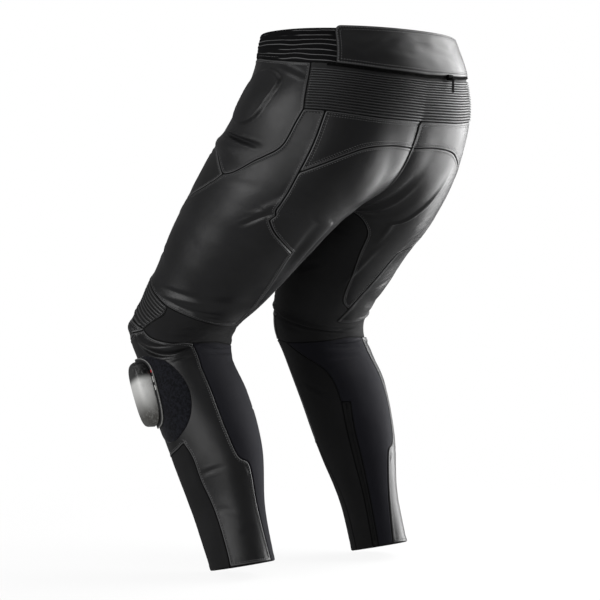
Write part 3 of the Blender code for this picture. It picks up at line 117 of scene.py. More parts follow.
# Seams: start corner, end corner and the points passed on the way.
SEAMS = {
    "band_low_side": ("fly_band", "yoke_corner", ((0.2, 0.031), (0.38, 0.032), (0.56, 0.045))),
    "band_low_back": ("yoke_corner", "back_band", ((0.7, 0.054), (0.769, 0.059), (0.872, 0.0655))),
    "yoke_side": ("yoke_corner", "yoke_low_corner", ((0.65, 0.095),)),
    "yoke_low_side": ("yoke_low_corner", "side_top", ()),
    "yoke_low_back": ("side_top", "back_low_yoke", ((0.803, 0.124), (0.886, 0.127))),
    "fly_upper": ("fly_band", "fly_end", ()),
    "fly_lower": ("fly_end", "crotch", ()),
    "hip_back": ("yoke_low_corner", "hip_point", ((0.639, 0.137), (0.614, 0.166), (0.572, 0.183),
        (0.545, 0.194), (0.503, 0.219))),
    "hip_front_low": ("hip_point", "fly_end", ((0.417, 0.199), (0.344, 0.175), (0.24, 0.16),
        (0.12, 0.16))),
    "thigh_front": ("hip_point", "knee_front_top", ((0.456, 0.261), (0.414, 0.296), (0.34, 0.352),
        (0.26, 0.405), (0.18, 0.452))),
    "side_back_high": ("side_top", "yoke_seat", ((0.703, 0.153), (0.686, 0.18))),
    "side_back_mid": ("yoke_seat", "side_notch", ((0.664, 0.219), (0.651, 0.2345),
        (0.637, 0.2475))),
    "side_back_step": ("side_notch", "side_step", ((0.658, 0.278),)),
    "side_back_low": ("side_step", "tongue_tip", ((0.736, 0.362), (0.745, 0.418))),
    "thigh_back_end": ("tongue_tip", "thigh_back_low", ()),
    "seat_top": ("yoke_seat", "seat_centre", ((0.742, 0.18), (0.8, 0.168), (0.85, 0.16),
        (0.92, 0.1565))),
    "centre_yoke": ("back_low_yoke", "seat_centre", ()),
    "centre_seat": ("seat_centre", "crotch", ()),
    "insert_back": ("crotch", "tongue_tip", ((0.95, 0.251), (0.897, 0.256), (0.861, 0.272),
        (0.844, 0.293), (0.819, 0.345), (0.797, 0.404), (0.778, 0.43))),
    "insert_front": ("crotch", "knee_inner_top", ((0.045, 0.262), (0.075, 0.3), (0.078, 0.36),
        (0.07, 0.42))),
    "knee_top_inner": ("knee_inner_top", "knee_front_top", ()),
    "knee_top_outer": ("knee_front_top", "knee_outer_top", ((0.22, 0.47), (0.33, 0.472),
        (0.42, 0.475))),
    "thigh_low_edge": ("knee_outer_top", "thigh_back_low", ((0.583, 0.477), (0.661, 0.48))),
    "knee_outer_side": ("knee_outer_top", "knee_outer_low", ((0.492, 0.495), (0.465, 0.512))),
    "knee_inner_side": ("knee_inner_top", "knee_inner_low", ()),
    "cap_top": ("knee_inner_low", "knee_outer_low", ((0.15, 0.52), (0.24, 0.518), (0.342, 0.521))),
    "cap_inner_side": ("knee_inner_low", "cap_inner_low", ()),
    "cap_low": ("cap_inner_low", "knee_outer_low", ((0.15, 0.553), (0.25, 0.553), (0.35, 0.547),
        (0.41, 0.536))),
    "band_low_knee": ("knee_outer_low", "calf_top", ((0.472, 0.539), (0.53, 0.543))),
    "knee_back_low": ("calf_top", "inner_calf_top", ((0.7, 0.537), (0.775, 0.547), (0.86, 0.553),
        (0.93, 0.555))),
    "knee_inner_back": ("inner_calf_top", "cap_inner_low", ()),
    "calf_outer": ("calf_top", "hem_outer_back", ((0.634, 0.576), (0.633, 0.605), (0.631, 0.639),
        (0.633, 0.69), (0.65, 0.73), (0.688, 0.741), (0.7, 0.754), (0.712, 0.786), (0.73, 0.829))),
    "calf_inner": ("inner_calf_top", "zip_top_front", ((0.93, 0.575), (0.862, 0.604),
        (0.842, 0.63))),
    "zip_top": ("zip_top_front", "zip_top_back", ()),
    "zip_front": ("zip_top_front", "hem_zip_front", ((0.856, 0.705), (0.863, 0.751), (0.864, 0.793),
        (0.866, 0.83))),
    "zip_back": ("zip_top_back", "hem_zip_back", ((0.824, 0.705), (0.828, 0.751), (0.83, 0.793),
        (0.832, 0.83))),
    "shin_inner_high": ("cap_inner_low", "shin_inner", ((0.04, 0.6), (0.03, 0.66))),
    "shin_inner_low": ("shin_inner", "hem_inner", ((0.02, 0.75), (0, 0.8))),
    "shin_top_edge": ("shin_inner", "shin_outer", ((0.15, 0.712), (0.28, 0.714), (0.386, 0.711),
        (0.44, 0.708))),
    "shin_outer_edge": ("shin_outer", "hem_outer_front", ((0.499, 0.723), (0.5, 0.755),
        (0.511, 0.788), (0.519, 0.822), (0.525, 0.858))),
    "hem_outer": ("hem_outer_front", "hem_outer_back", ()),
    "hem_calf": ("hem_outer_back", "hem_zip_back", ()),
    "hem_zip": ("hem_zip_back", "hem_zip_front", ()),
    "hem_inner_part": ("hem_zip_front", "hem_inner", ()),
    "hem_front": ("hem_inner", "hem_outer_front", ()),
}
MEETS_CROTCH_IN_FRONT = ("fly_lower", "insert_front")
LONGEST_STEP = 0.7             # two seam points further apart lie on different turns
NO_WRAP = -1.0
INNER_WRAP = 0.3               # below this value of around points belong to the next turn

# The raised hip protector under the leather, as a rounded outline.
PAD_OUTLINE = ((0.505, 0.056), (0.550, 0.074), (0.534, 0.103), (0.512, 0.126), (0.478, 0.137),
    (0.415, 0.135), (0.372, 0.116), (0.366, 0.082), (0.405, 0.059), (0.455, 0.053))


class Side(Enum):
    """Which leg a piece or a crease is on, as the sign of its x."""

    LEFT = 1
    RIGHT = -1
    BOTH = 0

    def of(self, piece: str) -> str:
        """Return the name of this side's piece."""
        return f"{self.name.lower()}_{piece}"


class FoldShape(Enum):
    """The section across a crease."""

    ROLL = "one soft bump or hollow"
    PINCH = "a sharp line with a shoulder on both sides"
    LAP = "a bump on one side that drops into a hollow on the other"

    @property
    def reach(self) -> float:
        """How far the section reaches to either side, in widths of the fold."""
        return {"ROLL": 1.0, "PINCH": 1.6, "LAP": 1.5}[self.name]


@dataclass(frozen=True)
class Crease:
    """One fold of the cloth.

    around and down are its middle, slant its direction in degrees from level, positive
    when it falls towards the back, bend its curvature, height its size outwards.
    """

    around: float
    down: float
    slant: float
    length: float
    width: float
    height: float
    shape: FoldShape = FoldShape.ROLL
    side: Side = Side.BOTH
    bend: float = 0.0


def fold_table(rows: dict[str, tuple]) -> dict[str, Crease]:
    """Return the creases of a table whose lengths, widths and heights are in mm."""
    return {name: Crease(*row[:3], *(size * MM for size in row[3:6]), *row[6:])
            for name, row in rows.items()}


ROLL, PINCH, LAP = FoldShape.ROLL, FoldShape.PINCH, FoldShape.LAP
LEFT, RIGHT, BOTH = Side.LEFT, Side.RIGHT, Side.BOTH

# The wide folds.
MAIN_FOLDS = fold_table({
    "groin_crease": (0.455, 0.1609, 12, 110, 16, -1),
    "inner_groin_crease": (0.18, 0.18, -8, 80, 13, -4),
    "thigh_drag": (0.64, 0.43, -20, 110, 17, -1.2),
    "knee_back_crease": (0.76, 0.505, 4, 110, 10, -1.8),
    "knee_fold_crease": (0.8, 0.53, -5, 120, 10, -0.9),
    "knee_inner_crease": (0.96, 0.522, -10, 80, 11, -3.5),
    "calf_top_crease": (0.74, 0.566, 6, 85, 11, -3),
})
MAIN_FOLD_END = 0.6            # a fold fades out at this share of its length, either way

# The finer folds, placed one by one.
FINE_FOLDS = fold_table({
    # hip and groin
    "band_streak": (0.575, 0.06, 25, 95, 5, -1, LAP),
    "band_drag": (0.47, 0.044, 12, 55, 5.5, -0.9, PINCH, RIGHT),
    "groin_deep": (0.448, 0.1606, 12, 116, 5.6, -8.8, PINCH),
    "groin_lip": (0.41, 0.179, 12, 140, 20, 5),
    "groin_second": (0.33, 0.19, -4, 75, 7, -1.6, PINCH, RIGHT),
    "groin_third": (0.3, 0.205, 10, 60, 7.5, -1.3, PINCH, LEFT),
    "front_fan_one": (0.12, 0.2, -24, 80, 7, -1.8, LAP, LEFT, 2.0),
    "front_fan_two": (0.1, 0.225, -38, 70, 6.5, -1.6, PINCH, RIGHT),
    "front_fan_three": (0.17, 0.235, -14, 85, 8, 1.5, LAP, BOTH, -2.0),
    "hip_soft": (0.3, 0.105, -6, 80, 12, -1, ROLL, LEFT),
    "hip_soft_low": (0.25, 0.128, 5, 70, 10, -0.9, ROLL, RIGHT),
    "belly_line": (0.16, 0.065, 3, 70, 8, -0.8, PINCH),
    "notch_light": (0.626, 0.243, -44, 70, 5.5, 1.8, ROLL, LEFT),
    "seat_fan_high": (0.918, 0.226, 82, 80, 6, 1.6, ROLL, RIGHT),
    "cheek": (0.88, 0.195, 70, 180, 42, 1.8, ROLL, LEFT),
    "above_knee_valley": (0.5, 0.45, -22, 110, 6, -1.5),
    "above_knee_dip": (0.56, 0.465, -10, 150, 4, -1.2),
    "above_knee_lip": (0.6, 0.473, 0, 200, 4.2, 1.4),
    "cap_bulge": (0.372, 0.532, 0, 60, 12, 6.5),
    "cap_groove": (0.425, 0.53, 60, 30, 4, -3, ROLL),
    "below_knee_second": (0.57, 0.5755, -12, 60, 5, -2.2, PINCH, LEFT),
    "below_knee_ridge_right": (0.5, 0.556, 0, 150, 10, 3.5, ROLL, RIGHT, -7.0),
    "cheek_right": (0.85, 0.225, 76, 130, 34, 1.2, ROLL, RIGHT),
    "knee_back_line": (0.92, 0.5186, 0, 240, 3.6, -4.5, PINCH, RIGHT),
    "centre_fill": (1.0, 0.205, 90, 170, 40, 6),
    "thigh_ridge": (0.806, 0.342, 84, 120, 5, 2.2, ROLL, RIGHT),
    # seat and back of the thigh
    "seat_low": (0.88, 0.228, -16, 60, 9, -1.2, ROLL, LEFT, 3.0),
    "thigh_back_pull": (0.764, 0.292, 89, 130, 10, 1.8, ROLL, LEFT),
    "thigh_back_dip": (0.735, 0.288, 86, 130, 8, -2, ROLL, LEFT),
    "thigh_back_line": (0.79, 0.3, 86, 120, 7, -2.2, ROLL, LEFT),
    "seat_ridge": (0.815, 0.238, 90, 128, 5.2, 3, ROLL, RIGHT),
    "seat_valley": (0.888, 0.243, 86, 110, 15, -1, ROLL, RIGHT),
    "seat_fan": (0.946, 0.221, 84, 80, 9, -2.6, ROLL, RIGHT),
    "outer_pull": (0.7, 0.29, 78, 120, 9, -1.2, LAP, RIGHT, 1.0),
    # outer and front thigh
    "notch_drag": (0.603, 0.266, -62, 55, 4.2, -2.7, PINCH, LEFT),
    "notch_drag_right": (0.6, 0.272, -40, 60, 6, -1.2, PINCH, RIGHT),
    "outer_soft_high": (0.54, 0.228, -12, 60, 10, -0.7, ROLL, LEFT),
    "thigh_front_soft": (0.28, 0.3, 14, 110, 13, -1.4, ROLL, LEFT),
    "thigh_front_line": (0.24, 0.335, 22, 90, 8, 1, LAP, RIGHT, 1.5),
    "thigh_front_low": (0.33, 0.425, 8, 100, 9, -1.3, PINCH, LEFT),
    "above_knee_roll": (0.525, 0.456, -21, 150, 4.6, 0.9),
    "thigh_low_pull": (0.69, 0.38, 40, 100, 9, -1.2, ROLL, RIGHT, 2.0),
    # knee
    "knee_back_high": (0.84, 0.494, -8, 90, 6.5, -0.8, PINCH, LEFT, 2.0),
    "knee_back_cross": (0.91, 0.515, 0, 230, 6, 7.5, LAP, RIGHT),
    "knee_back_branch": (0.715, 0.508, 22, 60, 5, -2.6, PINCH, RIGHT),
    "knee_back_low": (0.87, 0.541, 6, 95, 6, -0.8, LAP, LEFT, -2.0),
    "knee_side_fold": (0.61, 0.5, -24, 60, 5.5, -1.8, PINCH, LEFT),
    "knee_side_low": (0.57, 0.523, -10, 60, 5.5, 1.4, LAP, LEFT),
    "insert_pull": (0.9, 0.42, 70, 110, 8, -1.6, LAP, LEFT, 1.5),
    "insert_pull_right": (0.95, 0.4, 58, 120, 8, -1.6, PINCH, RIGHT),
    "insert_high": (0.96, 0.3, 24, 80, 8, -1.8, PINCH, BOTH, 2.0),
    # below the knee
    "below_knee_ridge": (0.505, 0.556, 0, 170, 9, 8.5, ROLL, LEFT, -8.0),
    "below_knee_shade": (0.516, 0.5682, 0, 150, 6.2, -7, PINCH, LEFT, -8.0),
    "calf_patch_fold": (0.69, 0.55, 12, 60, 5, 3.4, LAP),
    "calf_dark_fold": (0.745, 0.556, 5, 70, 4.5, -3.4, PINCH),
    "calf_low_fold": (0.8, 0.585, -6, 80, 8, -1.2, ROLL, LEFT),
    "calf_low_fold_right": (0.76, 0.59, 7, 70, 7, -1.2, PINCH, RIGHT),
    "inner_shin_crease": (0.93, 0.64, -30, 70, 7, -1.2, LAP),
    "shin_crease": (0.548, 0.744, -7, 62, 4.8, -1, PINCH, BOTH, 3.0),
    "shin_soft": (0.56, 0.8, 10, 60, 9, -0.7, ROLL, LEFT),
    "shin_soft_low": (0.64, 0.83, -12, 50, 8, -0.8, ROLL, LEFT),
    "piping_pucker": (0.672, 0.752, 60, 26, 5, 1, ROLL),
    "hem_soft": (0.9, 0.83, 12, 50, 8, -1, ROLL, RIGHT),
    "front_shin_line": (0.25, 0.77, 6, 70, 8, -0.9, PINCH, RIGHT),
    "front_shin_line_left": (0.22, 0.8, -8, 70, 8, -0.9, PINCH, LEFT),
})
FINE_FOLD_END = 0.5

# The creases of the kidney flap.
FLAP_FOLDS = fold_table({
    "left_corner": (0.86, 0.022, -18, 90, 6, 0.4, LAP),
    "right_middle": (1.06, 0.030, 12, 110, 7, 0.5, LAP),
    "left_middle": (0.93, 0.040, 8, 80, 6, -0.4, LAP),
    "right_corner": (1.14, 0.018, -26, 70, 6, 0.4, LAP),
    "centre": (1.00, 0.014, 4, 80, 5, 0.3, LAP),
    "left_end": (0.78, 0.034, 30, 50, 5, -0.3, LAP),
})

KNEE_BULGE = 5.0 * MM          # the knee cap stands out over the protector
KNEE_BULGE_PLACE = (0.26, 0.535)
KNEE_BULGE_REACH = (0.30, 0.036)


def bell(x: Array) -> Array:
    """Return a smooth bump that is 1 at 0 and 0 beyond 1."""
    return np.where(np.abs(x) < 1, (1 - x * x) ** 2, 0.0)


def smoothstep(low: float, high: float, x: Array) -> Array:
    """Return 0 below low, 1 above high and a smooth step between them."""
    u = np.clip((x - low) / (high - low), 0, 1)
    return u * u * (3 - 2 * u)


def noise_at(points: Array, scale: float, seed: float = 0.0) -> Array:
    """Return smooth noise between about -1 and 1 at points, scale features a metre."""
    shift = Vector((seed, 2.7 * seed, -1.9 * seed))
    return np.array([noise.noise(Vector(p) * scale + shift) for p in points])


class Body:
    """The filled-out form of the trousers: rings through the named sections."""

    NAMES = ("x", "y", "z", "tilt", "turn", "outer", "inner", "front", "back", "square")
    STEP_AROUND = 0.004
    STEP_DOWN = 0.002

    def __init__(self) -> None:
        """Work out the slopes of the smooth curves through the sections."""
        rows = np.array(list(SECTIONS.values()), float)
        self.places, self.values = rows[:, 0], rows[:, 1:]
        steps = np.diff(self.places)
        rises = np.diff(self.values, axis=0) / steps[:, None]
        slopes = np.empty_like(self.values)
        slopes[0], slopes[-1] = rises[0], rises[-1]
        before, after = steps[:-1, None], steps[1:, None]
        slopes[1:-1] = (rises[:-1] * after + rises[1:] * before) / (before + after)
        self.slopes = slopes

    def rings(self, down: Array) -> dict[str, Array]:
        """Return every section value at some distances down."""
        d = np.clip(down, self.places[0], self.places[-1])
        k = np.clip(np.searchsorted(self.places, d, side="left") - 1, 0, len(self.places) - 2)
        step = self.places[k + 1] - self.places[k]
        u = ((d - self.places[k]) / step)[:, None]
        step = step[:, None]
        value = ((1 + 2 * u) * (1 - u) ** 2 * self.values[k] + u * (1 - u) ** 2 * step * self.slopes[k] + u
            * u * (3 - 2 * u) * self.values[k + 1] + u * u * (u - 1) * step * self.slopes[k + 1])
        return dict(zip(self.NAMES, value.T))

    def plain(self, around: Array, down: Array) -> Array:
        """Return points of the cloth on the left side, without folds."""
        ring = self.rings(down)
        exponent = 2 / ring["square"]
        share = np.clip(ring["x"] / ring["inner"], 0, 1)
        above = down < CROTCH_DOWN
        opening = np.where(above, np.arccos(share ** (1 / exponent)), 0.0)
        outside = ~above & ((around < 0) | (around > 1))
        around = np.where(outside, around % 1.0, around)
        angle = (2 * around - 1) * (math.pi - opening)
        c, s = np.cos(angle), np.sin(angle)
        p = np.where(c > 0, ring["outer"], ring["inner"]) * np.sign(c) * np.abs(c) ** exponent
        q = np.where(s > 0, ring["back"], ring["front"]) * np.sign(s) * np.abs(s) ** exponent
        turn, tilt = np.radians(ring["turn"]), np.radians(ring["tilt"])
        p, q = p * np.cos(turn) - q * np.sin(turn), p * np.sin(turn) + q * np.cos(turn)
        return np.stack([ring["x"] + p, ring["y"] + q * np.cos(tilt), ring["z"] - q * np.sin(tilt)], axis=1)

    def rates(self, around: Array, down: Array) -> tuple[Array, Array]:
        """Return the moves of the cloth's point for one unit of around and of down."""
        above = down < CROTCH_DOWN
        a0, a1 = around - self.STEP_AROUND, around + self.STEP_AROUND
        a0, a1 = np.where(above, np.maximum(a0, 0), a0), np.where(above, np.minimum(a1, 1), a1)
        d0 = np.maximum(down - self.STEP_DOWN, 0)
        d1 = np.minimum(down + self.STEP_DOWN, HEM_DOWN)
        crossing = (d0 < CROTCH_DOWN) & (d1 > CROTCH_DOWN)
        d1 = np.where(crossing & above, CROTCH_DOWN - 1e-7, d1)
        d0 = np.where(crossing & ~above, CROTCH_DOWN, d0)
        level = (self.plain(a1, down) - self.plain(a0, down)) / (a1 - a0)[:, None]
        fall = (self.plain(around, d1) - self.plain(around, d0)) / (d1 - d0)[:, None]
        return level, fall

    def outward(self, around: Array, down: Array) -> Array:
        """Return unit vectors out of the cloth on the left side."""
        level, fall = self.rates(around, down)
        normal = np.cross(fall, level)
        return normal / np.linalg.norm(normal, axis=1)[:, None]

    def place(self, around: Array, down: Array, height: Array, side: Side) -> tuple[Array, Array]:
        """Return points moved outwards by a height, and their outward directions.

        Args:
            around: place round the leg; past the centre seams it is on the other side.
            down: distance from the waist edge.
            height: distance outwards from the plain cloth.
            side: the leg of a side piece, or BOTH for a piece that crosses the centre.
        """
        mirrored = (down < CROTCH_DOWN) & ((around < 0) | (around > 1))
        mirrored &= side is BOTH
        own = np.where(mirrored, np.where(around > 1, 2 - around, -around), around)
        points, out = self.plain(own, down), self.outward(own, down)
        if side is BOTH:
            centre = (down < CROTCH_DOWN) & ((own <= 0) | (own >= 1))
            out[centre, 0] = 0
            out /= np.linalg.norm(out, axis=1)[:, None]
        points = points + out * height[:, None]
        if side is BOTH:
            points[mirrored, 0] *= -1
            out[mirrored, 0] *= -1
            return points, out
        on_centre = (down < CROTCH_DOWN + ON_SEAM) & ((own < ON_SEAM) | (own > 1 - ON_SEAM))
        points[on_centre, 0] = CENTRE_CLEARANCE
        points[:, 0] = np.maximum(points[:, 0], CENTRE_CLEARANCE)
        return points * [side.value, 1, 1], out * [side.value, 1, 1]


def crease_height(fold: Crease, end: float, around: Array, down: Array) -> Array:
    """Return how far one fold moves the cloth outwards.

    Args:
        fold: the fold.
        end: the share of its length, either way, at which it fades out.
        around: place round the leg.
        down: distance from the waist edge.

    Returns:
        The height at each place.
    """
    shift = around - fold.around
    shift = np.where(down > CROTCH_DOWN, (shift + 0.5) % 1.0 - 0.5, shift)
    a, d = shift * TYPICAL_GIRTH, down - fold.down
    slant = math.radians(fold.slant)
    along = a * math.cos(slant) + d * math.sin(slant)
    across = -a * math.sin(slant) + d * math.cos(slant) - fold.bend * along ** 2
    u = across / (fold.width * fold.shape.reach)
    profile = bell(u)
    if fold.shape is PINCH:
        profile *= 1 - 5 * u * u
    elif fold.shape is LAP:
        profile *= -2.9 * u
    return fold.height * bell(along / (end * fold.length)) * profile


def fold_height(around: Array, down: Array, side: Side) -> Array:
    """Return how far every fold and the knee protector move the cloth outwards."""
    height = np.zeros_like(around)
    for folds, end in ((MAIN_FOLDS, MAIN_FOLD_END), (FINE_FOLDS, FINE_FOLD_END)):
        for fold in folds.values():
            if fold.side in (BOTH, side) or side is BOTH:
                height += crease_height(fold, end, around, down)
    across, along = ((value - middle) / reach for value, middle, reach
                     in zip((around, down), KNEE_BULGE_PLACE, KNEE_BULGE_REACH))
    return height + KNEE_BULGE * (bell(across) * bell(along))


# ---------------------------------------------------------------- patterns

def spline_span(p0: Array, p1: Array, p2: Array, p3: Array) -> Array:
    """Return points of a smooth curve from p1 up to p2, between p0 and p3."""
    u = np.linspace(0, 1, 24, endpoint=False)[:, None]
    return 0.5 * (2 * p1 + (p2 - p0) * u + (2 * p0 - 5 * p1 + 4 * p2 - p3) * u ** 2
        + (3 * p1 - p0 - 3 * p2 + p3) * u ** 3)


def curve_through(points: list[tuple[float, float]], spacing: float) -> Array:
    """Return points about a spacing apart on a smooth curve through some points."""
    given = np.array(points, float)
    if len(given) > 2:
        padded = np.vstack([given[:1], given, given[-1:]])
        spans = map(spline_span, padded, padded[1:], padded[2:], padded[3:])
        given = np.vstack([*spans, given[-1:]])
    return respaced(given, spacing)


def points_at(line: Array, wanted: Array, travelled: Array | None = None) -> Array:
    """Return the points of a line at wanted distances travelled, or else at shares."""
    marks = np.linspace(0, 1, len(line)) if travelled is None else travelled
    return np.stack([np.interp(wanted, marks, line[:, c]) for c in (0, 1)], axis=1)


def respaced(line: Array, spacing: float) -> Array:
    """Return a polyline of (around, down) with even steps of about a spacing."""
    lengths = np.hypot(*(np.diff(line, axis=0) * [TYPICAL_GIRTH, 1]).T)
    travelled = np.concatenate([[0], np.cumsum(lengths)])
    steps = max(round(travelled[-1] / spacing), 1)
    wanted = np.linspace(0, travelled[-1], steps + 1)
    return points_at(line, wanted, travelled)


def seam_line(name: str, spacing: float) -> Array:
    """Return a seam's points from its start corner to its end corner."""
    start, end, through = SEAMS[name]
    points = [CORNERS[start]]
    for a, d in through + (CORNERS[end],):
        if d >= CROTCH_DOWN and abs(a - points[-1][0]) > LONGEST_STEP:
            a -= round(a - points[-1][0])
        points.append((a, d))
    if name in MEETS_CROTCH_IN_FRONT:
        given = (CORNERS[start],) + through + (CORNERS[end],)
        points = [(0.0, d) if (a, d) == CORNERS["crotch"] else (a, d) for a, d in given]
    return curve_through(points, spacing)


def loop_of(seams: tuple[str, ...], wrap: float, spacing: float) -> Array:
    """Return the closed outline of a panel from the seams round it in order."""
    parts = []
    for name in seams:
        line = seam_line(name.lstrip("-"), spacing)
        if name.startswith("-"):
            line = line[::-1].copy()
        line[line[:, 0] < wrap, 0] += 1
        parts.append(line[:-1])
    return np.vstack(parts)


def rounded_loop(corners: tuple[tuple[float, float], ...], spacing: float) -> Array:
    """Return a closed smooth outline through some corners."""
    given = np.array(corners, float)
    spans = map(spline_span, *(np.roll(given, k, axis=0) for k in (1, 0, -1, -2)))
    return respaced(np.vstack([*spans, given[:1]]), spacing)[:-1]


def inside_loop(points: Array, loop: Array) -> Array:
    """Return which points lie inside a closed loop."""
    one, two = loop, np.roll(loop, -1, axis=0)
    x, y = points[:, :1], points[:, 1:]
    rise = np.where(two[:, 1] == one[:, 1], 1e-12, two[:, 1] - one[:, 1])
    crosses = (one[:, 1] > y) != (two[:, 1] > y)
    at = one[:, 0] + (y - one[:, 1]) / rise * (two[:, 0] - one[:, 0])
    return (np.sum(crosses & (x < at), axis=1) % 2).astype(bool)


class Pattern:
    """A cut piece: its outline filled with fine triangles, and distances to its edge."""

    CHUNK = 1500

    def __init__(self, body: Body, loop: Array, spacing: float, rings: tuple[float, ...]) -> None:
        """Fill an outline.

        Args:
            body: the form that the piece lies on.
            loop: closed outline as (around, down).
            spacing: between the points inside, in metres.
            rings: distances in from the edge at which extra rows of points run.
        """
        self.body, self.loop = body, loop
        flat = loop * [TYPICAL_GIRTH, 1]
        area = np.sum(flat[:, 0] * np.roll(flat[:, 1], -1) - np.roll(flat[:, 0], -1) * flat[:, 1])
        self.turn = 1.0 if area > 0 else -1.0
        self.scale = self.rate_lengths(loop)
        extra = [row[keep] for row, keep in map(self.row, rings)]
        inner = self.lattice(flat, spacing, rings[-1] if rings else spacing / 2)
        edges = [(k, (k + 1) % len(loop)) for k in range(len(loop))]
        points = np.vstack([loop, *extra, inner])
        found = delaunay_2d_cdt([Vector(p) for p in points * [TYPICAL_GIRTH, 1]], edges, [], 1, 1e-7)
        self.points = np.array([tuple(v) for v in found[0]]) / [TYPICAL_GIRTH, 1]
        self.faces = np.array([tuple(f) for f in found[2]])
        self.edge_distance, self.edge_place = self.to_edge(self.points)

    def rate_lengths(self, points: Array) -> Array:
        """Return metres of cloth for one unit of around and of down at points."""
        a = np.where(points[:, 1] < CROTCH_DOWN, np.abs((points[:, 0] + 1) % 2 - 1), points[:, 0])
        level, fall = self.body.rates(a, points[:, 1])
        return np.stack([np.linalg.norm(level, axis=1), np.linalg.norm(fall, axis=1)], axis=1)

    def row(self, distance: float) -> tuple[Array, Array]:
        """Return the outline moved inwards, and which of its points are clear of it."""
        ahead = np.roll(self.loop, -1, axis=0) - np.roll(self.loop, 1, axis=0)
        ahead = ahead * self.scale
        ahead /= np.linalg.norm(ahead, axis=1)[:, None] + 1e-12
        inward = np.stack([-ahead[:, 1], ahead[:, 0]], axis=1) * self.turn
        points = self.loop + inward * distance / self.scale
        away, _ = self.to_edge(points)
        keep = (away > 0.93 * distance) & inside_loop(points, self.loop)
        return points, keep

    def lattice(self, flat: Array, spacing: float, margin: float) -> Array:
        """Return points on a staggered lattice inside the outline, clear of its rows."""
        low, high = flat.min(axis=0), flat.max(axis=0)
        rows = []
        for k, y in enumerate(np.arange(low[1] + spacing / 2, high[1], spacing * 0.87)):
            x = np.arange(low[0] + spacing * (0.5 if k % 2 else 1.0), high[0], spacing)
            rows.append(np.stack([x / TYPICAL_GIRTH, np.full(len(x), y)], axis=1))
        if not rows:
            return np.empty((0, 2))
        points = np.vstack(rows)
        points = points[inside_loop(points, self.loop)]
        if not len(points):
            return points
        away, _ = self.to_edge(points)
        return points[away > margin + 0.4 * spacing]

    def to_edge(self, points: Array) -> tuple[Array, Array]:
        """Return each point's distance to the outline and the place on it, in metres."""
        one, two = self.loop, np.roll(self.loop, -1, axis=0)
        step = np.hypot(*((two - one) * self.scale).T)
        travelled = np.concatenate([[0], np.cumsum(step)[:-1]])
        far, where = np.empty(len(points)), np.empty(len(points))
        for first in range(0, len(points), self.CHUNK):
            part = points[first:first + self.CHUNK]
            scale = self.rate_lengths(part)[:, None, :]
            start = (one[None] - part[:, None]) * scale
            edge = (two - one)[None] * scale
            u = -np.sum(start * edge, axis=2) / (np.sum(edge * edge, axis=2) + 1e-18)
            u = np.clip(u, 0, 1)
            gap = np.linalg.norm(start + edge * u[..., None], axis=2)
            nearest = np.argmin(gap, axis=1)
            index = np.arange(len(part))
            far[first:first + self.CHUNK] = gap[index, nearest]
            where[first:first + self.CHUNK] = (travelled[nearest] + u[index, nearest] * step[nearest])
        return far, where

    def stitch_rows(self, distance: float) -> list[Array]:
        """Return open lines of (around, down) that run at a distance inside the edge."""
        points, keep = self.row(distance)
        lines, line = [], []
        for point, good in zip(np.vstack([points, points[:1]]), [*keep, False]):
            if good:
                line.append(point)
                continue
            if len(line) > 2:
                lines.append(np.array(line))
            line = []
        return lines


# ---------------------------------------------------------------- materials

